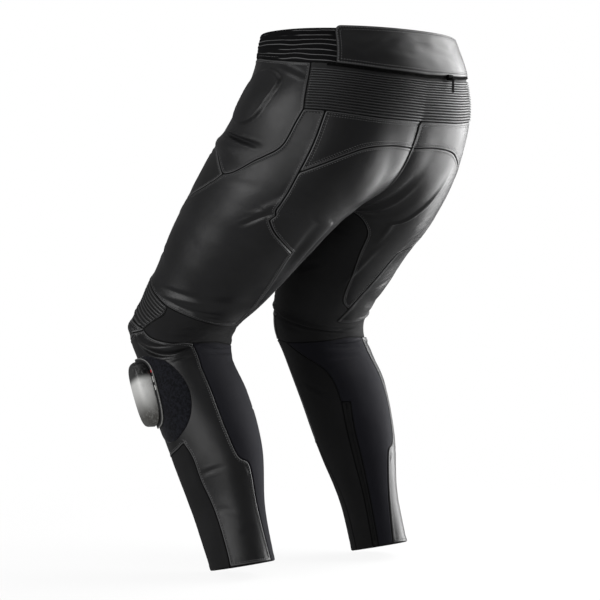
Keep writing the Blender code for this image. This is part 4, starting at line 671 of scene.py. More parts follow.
class Pen:
    """Draws a node tree in few words."""

    def __init__(self, tree: bpy.types.NodeTree) -> None:
        """Keep the tree that the nodes go into."""
        self.tree = tree

    def node(self, kind: str, inputs: dict | None = None, **settings: object) -> bpy.types.Node:
        """Add a node.

        Args:
            kind: the node's type name.
            inputs: values or sockets to link, by input name or index.
            settings: properties of the node.

        Returns:
            The new node.
        """
        made = self.tree.nodes.new(kind)
        for name, value in settings.items():
            setattr(made, name, value)
        self.fill(made, inputs or {})
        return made

    def fill(self, node: bpy.types.Node, inputs: dict) -> None:
        """Set or link some of a node's inputs, by name or index."""
        for name, value in inputs.items():
            if isinstance(value, Socket):
                self.tree.links.new(value, node.inputs[name])
            else:
                node.inputs[name].default_value = value

    def maths(self, operation: str, one: object, two: object = 0.0, clamp: bool = False) -> Socket:
        """Add a maths node and return its result."""
        made = self.node("ShaderNodeMath", {0: one, 1: two}, operation=operation, use_clamp=clamp)
        return made.outputs[0]

    def times(self, one: object, two: object) -> Socket:
        """Add a product and return it."""
        return self.maths("MULTIPLY", one, two)

    def plus(self, one: object, two: object, clamp: bool = False) -> Socket:
        """Add a sum and return it."""
        return self.maths("ADD", one, two, clamp)

    def ramp(self, value: object, low: float, high: float, to_low: float = 0.0,
            to_high: float = 1.0) -> Socket:
        """Add a smooth map range and return its result."""
        made = self.node("ShaderNodeMapRange", {"Value": value, "From Min": low, "From Max": high,
            "To Min": to_low, "To Max": to_high}, interpolation_type="SMOOTHSTEP")
        return made.outputs[0]

    def mix(self, share: object, one: object, two: object) -> Socket:
        """Add a colour mix and return its result."""
        made = self.node("ShaderNodeMix", {0: share, 6: one, 7: two}, data_type="RGBA")
        return made.outputs[2]

    def bump(self, height: object, strength: float, distance: float) -> Socket:
        """Add a bump node and return its normal."""
        return self.node("ShaderNodeBump", {"Height": height, "Strength": strength,
            "Distance": distance}).outputs[0]

    def place(self) -> Socket:
        """Return the Object coordinates."""
        return self.node("ShaderNodeTexCoord").outputs["Object"]

    def noise(self, scale: float, detail: float, **more: float) -> Socket:
        """Add a noise on Object coordinates and return its value."""
        return self.node("ShaderNodeTexNoise", {"Vector": self.place(), "Scale": scale, "Detail": detail,
            **more}).outputs["Fac"]

    def attribute(self, name: str) -> Socket:
        """Return a value that the mesh carries."""
        return self.node("ShaderNodeAttribute", attribute_name=name).outputs["Fac"]

    def cloth_uv(self) -> tuple[Socket, Socket]:
        """Return the cloth's own places in metres, across and along."""
        uv = self.node("ShaderNodeUVMap", uv_map="cloth").outputs["UV"]
        split = self.node("ShaderNodeSeparateXYZ", {0: uv})
        return split.outputs[0], split.outputs[1]


WHITE = (1.0, 1.0, 1.0)


def rgb(value: Triple) -> tuple[float, float, float, float]:
    """Return a colour with full opacity."""
    return (*value, 1.0)


MATERIALS: dict[str, bpy.types.Material] = {}      # every finish once made, by name


@dataclass(frozen=True)
class Finish:
    """A surface finish; its build method makes the material once."""

    name: str
    colour: Triple
    roughness: float

    def build(self) -> bpy.types.Material:
        """Return the finish's material, which is made only once."""
        if self.name not in MATERIALS:
            made = MATERIALS[self.name] = bpy.data.materials.new(self.name)
            made.use_nodes = True
            made.diffuse_color = rgb(self.colour)
            pen = Pen(made.node_tree)
            pen.fill(made.node_tree.nodes["Principled BSDF"], self.draw(pen))
        return MATERIALS[self.name]

    def draw(self, pen: Pen) -> dict[str, object]:
        """Draw the finish's nodes and return what goes into the shader's inputs."""
        raise NotImplementedError

    def shade(self, factor: float) -> tuple[float, float, float, float]:
        """Return the finish's colour, made darker or lighter."""
        return rgb(tuple(factor * c for c in self.colour))


@dataclass(frozen=True)
class LeatherFinish(Finish):
    """Black cowhide: a fine grain, patchy gloss, seam ridges made paler as burnish and painted highlight,
    and painted shade in the grooves.
    """

    gloss: float = 0.5
    grain_size: float = 1.1 * MM
    grain_depth: float = 0.06 * MM
    dotted: bool = False
    stitch_pitch: float = 3.9 * MM
    # how strongly the seam ridges and rib crests are made paler, partly burnish and partly painted
    # highlight, and the grey added for it
    paler: float = 0.9
    burnish_and_highlight_grey: float = 0.060
    # the black of the painted shade in the grooves
    groove_shade_black: Triple = (0.002, 0.002, 0.002)
    thread_grey: Triple = (0.026, 0.026, 0.027)

    def draw(self, pen: Pen) -> dict[str, object]:
        """Draw grain on Object coordinates and, by the seam attribute, a painted highlight with some
        burnish on the ridges and painted shade in the grooves.
        """
        seam = pen.attribute("seam_mm")
        cells = pen.node("ShaderNodeTexVoronoi", {"Vector": pen.place(), "Scale": 1 / self.grain_size,
            "Randomness": 0.9}, feature="DISTANCE_TO_EDGE")
        grain = pen.ramp(cells.outputs["Distance"], 0.0, 0.28)
        pores = pen.noise(0.6 / self.grain_size, 3.0)
        patches = pen.noise(14.0, 4.0, Roughness=0.6)
        # Painted highlight with some burnish: the ridges beside a seam are made paler.
        ridge = pen.times(pen.ramp(seam, 0.9, 1.5), pen.ramp(seam, 2.9, 2.1))
        # Painted shade: the seam grooves and the dips along the stitch lines are darkened towards black.
        furrow = pen.times(pen.ramp(seam, 3.5, 4.1), pen.ramp(seam, 4.9, 4.3))
        painted_shade_share = pen.plus(pen.ramp(seam, 1.5, 0.3), pen.times(furrow, 0.9), clamp=True)
        colour = pen.mix(pen.ramp(patches, 0.3, 0.7), self.shade(0.72), self.shade(1.28))
        paler = rgb(tuple(2.4 * c + self.burnish_and_highlight_grey for c in self.colour))
        colour = pen.mix(pen.times(ridge, self.paler), colour, paler)
        colour = pen.mix(pen.times(painted_shade_share, 0.92), colour, rgb(self.groove_shade_black))
        if self.dotted:
            colour = self.stitched(pen, seam, colour)
        rough = pen.ramp(patches, 0.3, 0.7, self.roughness + 0.05, self.roughness - 0.05)
        rough = pen.plus(rough, pen.times(grain, -0.06))
        rough = pen.plus(rough, pen.times(painted_shade_share, 0.4), clamp=True)
        relief = pen.plus(grain, pen.times(pores, 0.7))
        return {"Base Color": colour, "Roughness": rough, "Specular IOR Level": self.gloss,
            "Normal": pen.bump(relief, 0.55, self.grain_depth)}

    def stitched(self, pen: Pen, seam: Socket, colour: Socket) -> Socket:
        """Return the colour with short pale stitches in the grooves."""
        across, along = pen.cloth_uv()
        slanted = pen.plus(across, pen.times(along, 1.27))
        beat = pen.maths("SINE", pen.times(slanted, 2 * math.pi / self.stitch_pitch))
        sewn = pen.times(pen.ramp(seam, 1.35, 0.8), pen.ramp(beat, -0.2, 0.5))
        return pen.mix(pen.times(sewn, 0.85), colour, rgb(self.thread_grey))


@dataclass(frozen=True)
class WovenFinish(Finish):
    """A fine plain weave or knit drawn along the cloth's own UV map, in metres."""

    pitch: float = 0.9 * MM
    sheen: float = 0.15
    knit: bool = False
    # the black of the painted shade in the seam grooves
    groove_shade_black: Triple = (0.001, 0.001, 0.001)

    def draw(self, pen: Pen) -> dict[str, object]:
        """Draw the threads on the piece's UV map, and painted shade in the seam grooves by the seam
        attribute.
        """
        threads = self.threads(pen)
        blur, fuzz = pen.noise(22.0, 3.0), pen.noise(900.0, 2.0)
        colour = pen.mix(pen.ramp(threads, -0.7, 0.8), self.shade(0.7), self.shade(1.35))
        colour = pen.mix(pen.ramp(blur, 0.35, 0.7, 0.0, 0.35), colour, self.shade(1.6))
        # Painted shade: the seam grooves are darkened towards black.
        groove = pen.ramp(pen.attribute("seam_mm"), 1.5, 0.3)
        colour = pen.mix(pen.times(groove, 0.85), colour, rgb(self.groove_shade_black))
        relief = pen.plus(threads, pen.times(fuzz, 0.8))
        return {"Base Color": colour, "Normal": pen.bump(relief, 0.6, 0.12 * MM),
            "Roughness": pen.ramp(fuzz, 0.3, 0.7, self.roughness - 0.06, self.roughness + 0.06),
            "Specular IOR Level": 0.15, "Sheen Weight": self.sheen, "Sheen Roughness": 0.5}

    def threads(self, pen: Pen) -> Socket:
        """Return the height of the threads: a plain weave, or the V stitches of a knit."""
        across, along = pen.cloth_uv()
        turn = 2 * math.pi / self.pitch
        warp = pen.maths("SINE", pen.times(across, turn))
        if not self.knit:
            return pen.times(warp, pen.maths("SINE", pen.times(along, turn)))
        lean = pen.maths("ABSOLUTE", warp)
        weft = pen.maths("SINE", pen.plus(pen.times(along, turn * 1.6), pen.times(lean, 2.2)))
        return pen.plus(pen.times(lean, 0.6), pen.times(weft, 0.4))


@dataclass(frozen=True)
class LoopFinish(Finish):
    """The loop half of a hook-and-loop fastening: short curly pile."""

    def draw(self, pen: Pen) -> dict[str, object]:
        """Draw curls and tufts on Object coordinates."""
        curls = pen.node("ShaderNodeTexVoronoi", {"Vector": pen.place(), "Scale": 700.0})
        curl = curls.outputs["Distance"]
        tufts = pen.noise(260.0, 4.0, Distortion=0.8)
        return {"Base Color": pen.mix(pen.ramp(tufts, 0.35, 0.65), self.shade(0.5), self.shade(1.6)),
            "Roughness": pen.ramp(curl, 0.0, 0.7, self.roughness - 0.1, self.roughness),
            "Normal": pen.bump(pen.plus(curl, tufts), 0.8, 0.3 * MM), "Specular IOR Level": 0.15,
            "Sheen Weight": 0.25, "Sheen Roughness": 0.4}


@dataclass(frozen=True)
class PlasticFinish(Finish):
    """Moulded plastic with fine scuffs: black at the top over a light grey that fades darker towards the
    foot, a painted highlight falling off into painted shade, or with a pale grey rim.
    """

    fade: bool = False
    rim: bool = False
    top_black: Triple = (0.012, 0.012, 0.013)
    # the grey at the foot of the puck: painted shade below the painted highlight
    foot_shade_grey: Triple = (0.075, 0.073, 0.066)
    rim_grey: Triple = (0.32, 0.32, 0.31)

    def draw(self, pen: Pen) -> dict[str, object]:
        """Draw scuffs on Object coordinates over a colour by the piece's attributes: the black top, the
        painted highlight fading into painted shade, the pale rim.
        """
        scuffs = pen.noise(160.0, 6.0, Distortion=2.0)
        base = rgb(self.colour)
        # Painted highlight and shade: the light grey fades to a dark grey down the puck, below the black
        # top.
        if self.fade:
            along = pen.attribute("along")
            low = pen.mix(pen.ramp(along, 0.38, 0.90), base, rgb(self.foot_shade_grey))
            base = pen.mix(pen.ramp(along, 0.21, 0.34), rgb(self.top_black), low)
        if self.rim:
            base = pen.mix(pen.attribute("rim"), base, rgb(self.rim_grey))
        return {"Base Color": pen.mix(pen.ramp(scuffs, 0.45, 0.75, 0.0, 0.22), base, self.shade(0.6)),
            "Roughness": pen.ramp(scuffs, 0.35, 0.7, self.roughness - 0.07, self.roughness + 0.1),
            "Normal": pen.bump(pen.noise(1500.0, 2.0), 0.25, 0.04 * MM)}


@dataclass(frozen=True)
class MetalFinish(Finish):
    """Blackened metal, rubbed brighter in patches."""

    def draw(self, pen: Pen) -> dict[str, object]:
        """Draw the rubbing on Object coordinates."""
        rub = pen.noise(420.0, 5.0)
        return {"Base Color": pen.mix(pen.ramp(rub, 0.45, 0.7), rgb(self.colour), self.shade(2.4)),
            "Roughness": pen.ramp(rub, 0.3, 0.7, self.roughness + 0.1, self.roughness - 0.05),
            "Normal": pen.bump(rub, 0.2, 0.05 * MM), "Metallic": 0.9,
            "Specular Tint": (0.25, 0.25, 0.25, 1.0)}


@dataclass(frozen=True)
class ThreadFinish(Finish):
    """Twisted sewing thread."""

    def draw(self, pen: Pen) -> dict[str, object]:
        """Draw the twist on Object coordinates."""
        twist = pen.noise(2600.0, 2.0)
        return {"Base Color": pen.mix(pen.ramp(twist, 0.35, 0.65), self.shade(0.6), self.shade(1.5)),
            "Roughness": pen.ramp(twist, 0.3, 0.7, self.roughness - 0.1, self.roughness),
            "Normal": pen.bump(twist, 0.5, 0.05 * MM)}


LEATHER = LeatherFinish("black_leather", (0.0130, 0.0130, 0.0138), 0.38, gloss=0.36)
# The ribbed leather's crests are made paler, as painted highlight with some burnish, and its grooves dark,
# as painted shade.
RIB_LEATHER = LeatherFinish("ribbed_leather", (0.016, 0.016, 0.017), 0.38, gloss=0.42, dotted=True,
    paler=0.50)
# The band's gathers get a pale painted highlight along each crest, and painted shade between them.
BAND_LEATHER = LeatherFinish("band_leather", (0.004, 0.004, 0.005), 0.55, gloss=0.12, burnish_and_highlight_grey=0.17)
STRETCH = WovenFinish("stretch_weave", (0.0160, 0.0160, 0.0166), 0.85, sheen=0.02)
TEXTILE = WovenFinish("leg_textile", (0.0130, 0.0130, 0.0136), 0.80, sheen=0.03)
KNIT = WovenFinish("calf_knit", (0.0105, 0.0105, 0.0142), 0.84, pitch=1.1 * MM, sheen=0.03, knit=True)
# Near black: the tape's own black, made darker still as painted shadow under the kidney flap.
TAPE = WovenFinish("woven_tape", (0.0035, 0.0035, 0.0035), 0.85, pitch=0.7 * MM, sheen=0.0)
LINING = WovenFinish("mesh_lining", (0.030, 0.030, 0.033), 0.85, pitch=2.2 * MM, sheen=0.1, knit=True)
LOOP = LoopFinish("loop_pile", (0.0078, 0.0082, 0.0112), 0.95)
SLIDER_PLASTIC = PlasticFinish("puck_plastic", (0.86, 0.86, 0.84), 0.42, fade=True)
BASE_PLASTIC = PlasticFinish("base_moulding", (0.014, 0.014, 0.015), 0.52, rim=True)
MARK_RED = PlasticFinish("mark_red", (0.60, 0.02, 0.03), 0.5)
MARK_WHITE = PlasticFinish("mark_white", (0.62, 0.62, 0.60), 0.5)
ZIP_CLOTH = WovenFinish("ankle_tape", (0.0128, 0.0128, 0.0134), 0.85, pitch=0.7 * MM, sheen=0.0)
DARK_METAL = MetalFinish("blackened_metal", (0.005, 0.005, 0.005), 0.55)
ZIP_METAL = MetalFinish("zip_teeth", (0.010, 0.010, 0.010), 0.55)
THREAD = ThreadFinish("black_thread", (0.150, 0.150, 0.152), 0.45)


# ---------------------------------------------------------------- meshes

MOST_FILL, LEAST_FILL = 0.99, 0.33     # a sheet's area as a share of its flat rectangle


def show(name: str, data: bpy.types.ID) -> Object:
    """Return a new object in the scene that shows some data."""
    thing = bpy.data.objects.new(name, data)
    bpy.context.scene.collection.objects.link(thing)
    return thing


def mesh_object(name: str, points: Array, faces: Array, finish: Finish) -> Object:
    """Create a smooth mesh object with a finish."""
    mesh = bpy.data.meshes.new(name)
    mesh.from_pydata([tuple(map(float, p)) for p in points], [], [tuple(map(int, f)) for f in faces])
    mesh.update()
    mesh.shade_smooth()
    mesh.materials.append(finish.build())
    thing = show(name, mesh)
    return thing


def add_value(thing: Object, name: str, values: Array) -> None:
    """Store one number, or one vector, for each point of a mesh."""
    kind, key = ("FLOAT", "value") if values.ndim == 1 else ("FLOAT_VECTOR", "vector")
    attribute = thing.data.attributes.new(name, kind, "POINT")
    attribute.data.foreach_set(key, values.astype(np.float32).ravel())


def add_cloth_uv(thing: Object, across: Array, along: Array) -> None:
    """Store a UV map in metres from values at the points."""
    layer = thing.data.uv_layers.new(name="cloth")
    corner = np.empty(len(thing.data.loops), np.int32)
    thing.data.loops.foreach_get("vertex_index", corner)
    uv = np.stack([across[corner], along[corner]], axis=1).astype(np.float32)
    layer.data.foreach_set("uv", uv.ravel())


def apply_modifiers(thing: Object) -> None:
    """Turn the evaluated object into its plain mesh and remove its modifiers."""
    graph = bpy.context.evaluated_depsgraph_get()
    mesh = bpy.data.meshes.new_from_object(thing.evaluated_get(graph), depsgraph=graph)
    old = thing.data
    thing.modifiers.clear()
    thing.data = mesh
    mesh.name = thing.name
    bpy.data.meshes.remove(old)


def solidify(thing: Object, wall: float, lining: Finish | None) -> None:
    """Give a skin its wall, inwards, with a lining on the inside if one is given."""
    modifier = thing.modifiers.new("wall", "SOLIDIFY")
    modifier.thickness = wall
    modifier.offset = -1
    if lining is not None:
        thing.data.materials.append(lining.build())
        modifier.material_offset = 1
    apply_modifiers(thing)


def skin_area(thing: Object) -> float:
    """Return the area of a mesh."""
    areas = np.empty(len(thing.data.polygons), np.float32)
    thing.data.polygons.foreach_get("area", areas)
    return float(areas.sum())


def facing(points: Array, faces: Array, out: Array) -> Array:
    """Return faces turned so that they look outwards."""
    a, b, c = (points[faces[:, k]] for k in range(3))
    normal = np.cross(b - a, c - a)
    if np.sum(normal * out[faces[:, 0]]) < 0:
        return faces[:, ::-1]
    return faces


def closed_outwards(points: Array, faces: Array) -> Array:
    """Return a closed mesh's faces turned so that they look outwards."""
    a, b, c = (points[faces[:, k]] - points.mean(axis=0) for k in range(3))
    return faces[:, ::-1] if np.sum(np.cross(a, b) * c) < 0 else faces


def stack_faces(count: int, sides: int) -> Array:
    """Return the triangles of a closed stack of rings, with a fan over both ends."""
    faces = []
    for i in range(0, (count - 1) * sides, sides):
        for k in range(sides):
            n = (k + 1) % sides
            faces += [(i + k, i + n, i + sides + n), (i + k, i + sides + n, i + sides + k)]
    last = (count - 1) * sides
    for k in range(1, sides - 1):
        faces += [(0, k + 1, k), (last, last + k, last + k + 1)]
    return np.array(faces)


def grid_faces(high: int, wide: int) -> Array:
    """Return the two triangles of every cell of a grid of points."""
    i, j = np.meshgrid(np.arange(high - 1), np.arange(wide - 1), indexing="ij")
    a = (i * wide + j).ravel()
    b, c, d = a + 1, a + wide + 1, a + wide
    return np.vstack([np.stack([a, b, c], axis=1), np.stack([a, c, d], axis=1)])


def declare_cloth(thing: Object, area: float, width: float, length: float) -> None:
    """Log a piece's cut as a sheet of its own flat size, which its area fills in part."""
    fill = area / (width * length)
    if fill > MOST_FILL:
        length *= fill / MOST_FILL
    elif fill < LEAST_FILL:
        width *= fill / LEAST_FILL
    LOG.info("%s: cut %.0f x %.0f mm, %d faces", thing.name, width / MM, length / MM,
        len(thing.data.polygons))


# ---------------------------------------------------------------- geometry nodes

class RowShape(Enum):
    """What a row of small parts is made of."""

    STITCH = "stitch"
    TOOTH = "tooth"


def start_tree(name: str, inputs: dict[str, str]) -> tuple[Pen, bpy.types.Node]:
    """Return a pen for a new tree that takes a geometry and more, and its input node.

    Args:
        name: the tree's name.
        inputs: the kind of each further input, by its label.
    """
    tree = bpy.data.node_groups.new(name, "GeometryNodeTree")
    tree.interface.new_socket("Geometry", in_out="OUTPUT", socket_type="NodeSocketGeometry")
    for label, kind in {"Geometry": "Geometry", **inputs}.items():
        tree.interface.new_socket(label, in_out="INPUT", socket_type="NodeSocket" + kind)
    pen = Pen(tree)
    return pen, pen.node("NodeGroupInput")


def row_tree(shape: RowShape) -> GeometryTree:
    """Return the node tree that sets small parts along lines that carry an "out" vector.

    Args:
        shape: STITCH for rounded lengths of thread, TOOTH for small zip elements.

    Returns:
        The tree, with the inputs Spacing, Size, Lift, Seed and Finish.
    """
    name = "row_of_" + shape.value
    if name in bpy.data.node_groups:
        return bpy.data.node_groups[name]
    pen, source = start_tree(name, {"Spacing": "Float", "Size": "Vector", "Lift": "Float", "Seed": "Int",
        "Finish": "Material"})
    given = source.outputs
    curve = pen.node("GeometryNodeMeshToCurve", {"Mesh": given["Geometry"]})
    even = pen.node("GeometryNodeResampleCurve", {"Curve": curve.outputs[0], "Length": given["Spacing"]},
        mode="LENGTH")
    out = pen.node("GeometryNodeInputNamedAttribute", {"Name": "out"},
        data_type="FLOAT_VECTOR").outputs["Attribute"]
    tangent = pen.node("GeometryNodeInputTangent").outputs[0]
    along = pen.node("FunctionNodeAlignRotationToVector", {"Vector": tangent}, axis="X")
    turned = pen.node("FunctionNodeAlignRotationToVector", {"Rotation": along.outputs[0], "Vector": out},
        axis="Z", pivot_axis="X")
    if shape is RowShape.STITCH:
        part = pen.node("GeometryNodeMeshUVSphere", {"Segments": 6, "Rings": 4, "Radius": 0.5}).outputs[0]
    else:
        part = pen.node("GeometryNodeMeshCube", {"Size": (1.0, 1.0, 1.0)}).outputs[0]
    sized = pen.node("GeometryNodeTransform", {"Geometry": part, "Scale": given["Size"]})
    uneven = pen.node("FunctionNodeRandomValue", {2: 0.88, 3: 1.08, "Seed": given["Seed"]},
        data_type="FLOAT").outputs[1]
    lifted = pen.node("ShaderNodeVectorMath", {0: out, "Scale": given["Lift"]},
        operation="SCALE").outputs[0]
    moved = pen.node("GeometryNodeSetPosition", {"Geometry": even.outputs[0], "Offset": lifted})
    placed = pen.node("GeometryNodeInstanceOnPoints", {"Points": moved.outputs[0],
        "Instance": sized.outputs[0], "Rotation": turned.outputs[0], "Scale": uneven})
    real = pen.node("GeometryNodeRealizeInstances", {0: placed.outputs[0]})
    smooth = pen.node("GeometryNodeSetShadeSmooth", {"Geometry": real.outputs[0],
        "Shade Smooth": shape is RowShape.STITCH})
    return end_tree(pen, smooth, given["Finish"])


def end_tree(pen: Pen, last: bpy.types.Node, finish: Socket) -> GeometryTree:
    """Set the material, end a tree and return it."""
    dressed = pen.node("GeometryNodeSetMaterial", {"Geometry": last.outputs[0], "Material": finish})
    pen.node("NodeGroupOutput", {0: dressed.outputs[0]})
    return pen.tree


def rib_tree() -> GeometryTree:
    """Return the node tree that presses rounded ribs into a skin.

    The skin's points carry "out" (outwards), "ribs" (ribs passed so far) and "swell"
    (0 to 1).

    Returns:
        The tree, with the inputs Height and Groove, in metres, and Finish.
    """
    if "ribs" in bpy.data.node_groups:
        return bpy.data.node_groups["ribs"]
    pen, source = start_tree("ribs", {"Height": "Float", "Groove": "Float", "Finish": "Material"})
    given = source.outputs
    out, ribs, swell = (
        pen.node("GeometryNodeInputNamedAttribute", {"Name": name}, data_type=kind).outputs["Attribute"]
        for name, kind in (("out", "FLOAT_VECTOR"), ("ribs", "FLOAT"), ("swell", "FLOAT")))
    wave = pen.maths("ABSOLUTE", pen.maths("SINE", pen.times(ribs, math.pi)))
    wave = pen.maths("POWER", wave, 0.62)
    rise = pen.times(wave, pen.plus(given["Height"], given["Groove"]))
    rise = pen.times(pen.maths("SUBTRACT", rise, given["Groove"]), swell)
    move = pen.node("ShaderNodeVectorMath", {0: out, "Scale": rise}, operation="SCALE")
    moved = pen.node("GeometryNodeSetPosition", {"Geometry": given["Geometry"], "Offset": move.outputs[0]})
    real = pen.node("GeometryNodeRealizeInstances", {0: moved.outputs[0]})
    return end_tree(pen, real, given["Finish"])


def run_tree(thing: Object, tree: GeometryTree, values: dict[str, object]) -> None:
    """Set a tree's inputs by their sockets' identifiers and apply it."""
    modifier = thing.modifiers.new(tree.name, "NODES")
    modifier.node_group = tree
    for item in tree.interface.items_tree:
        if item.item_type == "SOCKET" and item.in_out == "INPUT" and item.name in values:
            modifier[item.identifier] = values[item.name]
    apply_modifiers(thing)


@dataclass
class Rows:
    """Lines of stitches or teeth that are gathered first and made together."""

    name: str
    shape: RowShape
    spacing: float
    size: Triple
    lift: float
    finish: Finish
    slot: str
    points: list[Array] = field(default_factory=list)
    outs: list[Array] = field(default_factory=list)

    def add(self, points: Array, outs: Array) -> None:
        """Add one line with the direction outwards at each of its points."""
        if len(points) > 1:
            self.points.append(points)
            self.outs.append(outs)

    def make(self) -> None:
        """Set the parts along all lines, as one piece on the garment."""
        if not self.points:
            return
        mesh = bpy.data.meshes.new(self.name)
        edges, first = [], 0
        for line in self.points:
            edges += [(first + k, first + k + 1) for k in range(len(line) - 1)]
            first += len(line)
        mesh.from_pydata([tuple(map(float, p)) for p in np.vstack(self.points)], edges, [])
        thing = show(self.name, mesh)
        add_value(thing, "out", np.vstack(self.outs))
        run_tree(thing, row_tree(self.shape), {"Spacing": self.spacing, "Size": self.size,
            "Lift": self.lift, "Seed": 7, "Finish": self.finish.build()})
        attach(thing, "garment")
        LOG.info("%s: %d faces", self.name, len(thing.data.polygons))


# ---------------------------------------------------------------- sub-assemblies

@dataclass(frozen=True)
class PanelCut:
    """One panel of the cut: the seams round it, its wall, cloth and topstitching."""

    seams: tuple[str, ...]
    wall: float = LEATHER_WALL
    finish: Finish = LEATHER
    slot: str = "leather"
    wrap: float = NO_WRAP
    lap: float = 0.5 * MM
    rows: tuple[float, ...] = (4.2 * MM,)


PANELS = {
    "hip_front": PanelCut(("band_low_side", "yoke_side", "hip_back", "hip_front_low", "-fly_upper")),
    "front_thigh": PanelCut(("-hip_front_low", "thigh_front", "-knee_top_inner", "-insert_front",
        "-fly_lower")),
    "outer_thigh": PanelCut(("yoke_low_side", "side_back_high", "side_back_mid", "side_back_step",
        "side_back_low", "thigh_back_end", "-thigh_low_edge", "-knee_top_outer", "-thigh_front",
        "-hip_back"), lap=0.9 * MM),
    "back_yoke": PanelCut(("yoke_low_back", "centre_yoke", "-seat_top", "-side_back_high"),
        rows=(4.2 * MM, 7.0 * MM)),
    "seat_thigh": PanelCut(("seat_top", "centre_seat", "insert_back", "-side_back_low",
        "-side_back_step", "-side_back_mid"), lap=0.3 * MM),
    "stretch_insert": PanelCut(("-insert_back", "insert_front", "knee_inner_side", "cap_inner_side",
        "-knee_inner_back", "-knee_back_low", "-band_low_knee", "-knee_outer_side",
        "thigh_low_edge", "-thigh_back_end"), STRETCH_WALL, STRETCH, "stretch", wrap=INNER_WRAP,
        lap=0.0, rows=()),
    "knee_cap": PanelCut(("cap_top", "-cap_low", "-cap_inner_side"), lap=0.4 * MM),
    "outer_shin": PanelCut(("cap_low", "band_low_knee", "calf_outer", "-hem_outer",
        "-shin_outer_edge", "-shin_top_edge", "-shin_inner_high"),
        lap=0.6 * MM),
    "front_shin": PanelCut(("shin_top_edge", "shin_outer_edge", "-hem_front", "-shin_inner_low"),
        STRETCH_WALL, TEXTILE, "textile", lap=0.0, rows=()),
    "calf_stretch": PanelCut(("knee_back_low", "calf_inner", "zip_top", "zip_back", "-hem_calf",
        "-calf_outer"), STRETCH_WALL, KNIT, "knit", wrap=INNER_WRAP, lap=0.0, rows=()),
    "inner_shin": PanelCut(("knee_inner_back", "shin_inner_high", "shin_inner_low",
        "-hem_inner_part", "-zip_front", "-calf_inner"), STRETCH_WALL, TEXTILE, "textile",
        wrap=INNER_WRAP, lap=0.0, rows=()),
    "ankle_zip": PanelCut(("-zip_top", "zip_front", "-hem_zip", "-zip_back"), STRETCH_WALL,
        ZIP_CLOTH, "zip_tape", lap=0.0, rows=()),
}


@dataclass
class Tailor:
    """What every cloth piece shares: the body, the stitches and the seam's section."""

    body: Body
    stitches: dict[Side, Rows]
    spacing: float = 3.0 * MM
    rings: tuple[float, ...] = (0.8 * MM, 1.7 * MM, 3.0 * MM, 4.2 * MM, 5.6 * MM)
    groove: float = 1.3 * MM
    stitch_line: float = 4.2 * MM
    pucker: float = 0.22 * MM
    undulation: float = 0.35 * MM

    def seam_profile(self, distance: Array, lap: float) -> Array:
        """Return the height of the cloth at a distance from its sewn edge."""
        rise = smoothstep(0.0, 1.5 * MM, distance)
        roll = lap * smoothstep(0.4 * MM, 1.4 * MM, distance) * (1 - smoothstep(3.2 * MM, 5.5 * MM,
            distance))
        dip = 0.35 * MM * bell((distance - self.stitch_line) / (1.3 * MM)) * (lap > 0)
        return -self.groove * (1 - rise) + roll - dip

    def relief(self, pattern: Pattern, side: Side, lap: float) -> Array:
        """Return the height of every point of a pattern over the plain body."""
        a, d = pattern.points.T
        height = fold_height(a, d, side)
        height += self.seam_profile(pattern.edge_distance, lap)
        wave = 0.5 + 0.5 * np.sin(pattern.edge_place * 2 * math.pi / (9.5 * MM) + 2.5
            * np.sin(pattern.edge_place / (27 * MM)))
        near = np.exp(-(pattern.edge_distance / (9 * MM)) ** 2)
        near *= smoothstep(2.0 * MM, 5.0 * MM, pattern.edge_distance)
        height -= self.pucker * wave * near
        flat = np.stack([a * TYPICAL_GIRTH, d, np.full(len(a), 0.3 * side.value)], axis=1)
        calm = smoothstep(0.0, 12 * MM, pattern.edge_distance)
        waves = noise_at(flat, 24, 3.1) + 0.5 * noise_at(flat, 62, 8.3)
        return height + self.undulation * calm * waves

    def make_skin(self, name: str, pattern: Pattern, height: Array, side: Side, finish: Finish,
            slot: str) -> Object:
        """Create a piece's outer skin with its seam distances and UV map."""
        a, d = pattern.points.T
        points, out = self.body.place(a, d, height, side)
        thing = mesh_object(name, points, facing(points, pattern.faces, out), finish)
        add_value(thing, "seam_mm", pattern.edge_distance / MM)
        girth = pattern.rate_lengths(pattern.points)[:, 0]
        middle = float(np.mean(a))
        add_cloth_uv(thing, (a - middle) * girth, d)
        return thing

    def finish_cloth(self, thing: Object, pattern: Pattern, wall: float, held: str, lining: Finish | None,
            node: str) -> None:
        """Give a skin its wall, set it on the garment and log its cut."""
        area = skin_area(thing)
        a, d = pattern.points.T
        across = a * pattern.rate_lengths(pattern.points)[:, 0]
        bins = ((d - d.min()) / (12 * MM)).astype(int)
        widths = [np.ptp(across[bins == k]) for k in range(bins.max() + 1) if np.sum(bins == k) > 1]
        solidify(thing, wall, lining)
        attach(thing, "garment")
        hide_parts(node)
        declare_cloth(thing, area, max(widths), float(np.ptp(d)) + wall)

    def lay(self, line: Array, height: Array | float, side: Side,
            rise: Callable[[Array], Array] | None = None) -> None:
        """Lay stitches along a line.

        Args:
            line: its points as (around, down).
            height: how far outwards the stitches lie.
            side: the leg, or BOTH.
            rise: how far upwards they are moved, by their distance down.
        """
        height = np.broadcast_to(height, len(line))
        points, out = self.body.place(*line.T, height, side)
        if rise is not None:
            points[:, 2] += rise(line[:, 1])
        self.stitches[side].add(points, out)

    def sew(self, pattern: Pattern, height: Array, side: Side, distance: float,
            rise: Callable[[Array], Array] | None = None) -> None:
        """Lay stitches at a distance inside a pattern's edge."""
        lookup = pattern.points * [TYPICAL_GIRTH, 1]
        for line in pattern.stitch_rows(distance):
            nearest = [int(np.argmin(np.sum((lookup - spot) ** 2, axis=1))) for spot in line
                * [TYPICAL_GIRTH, 1]]
            self.lay(line, height[nearest], side, rise)


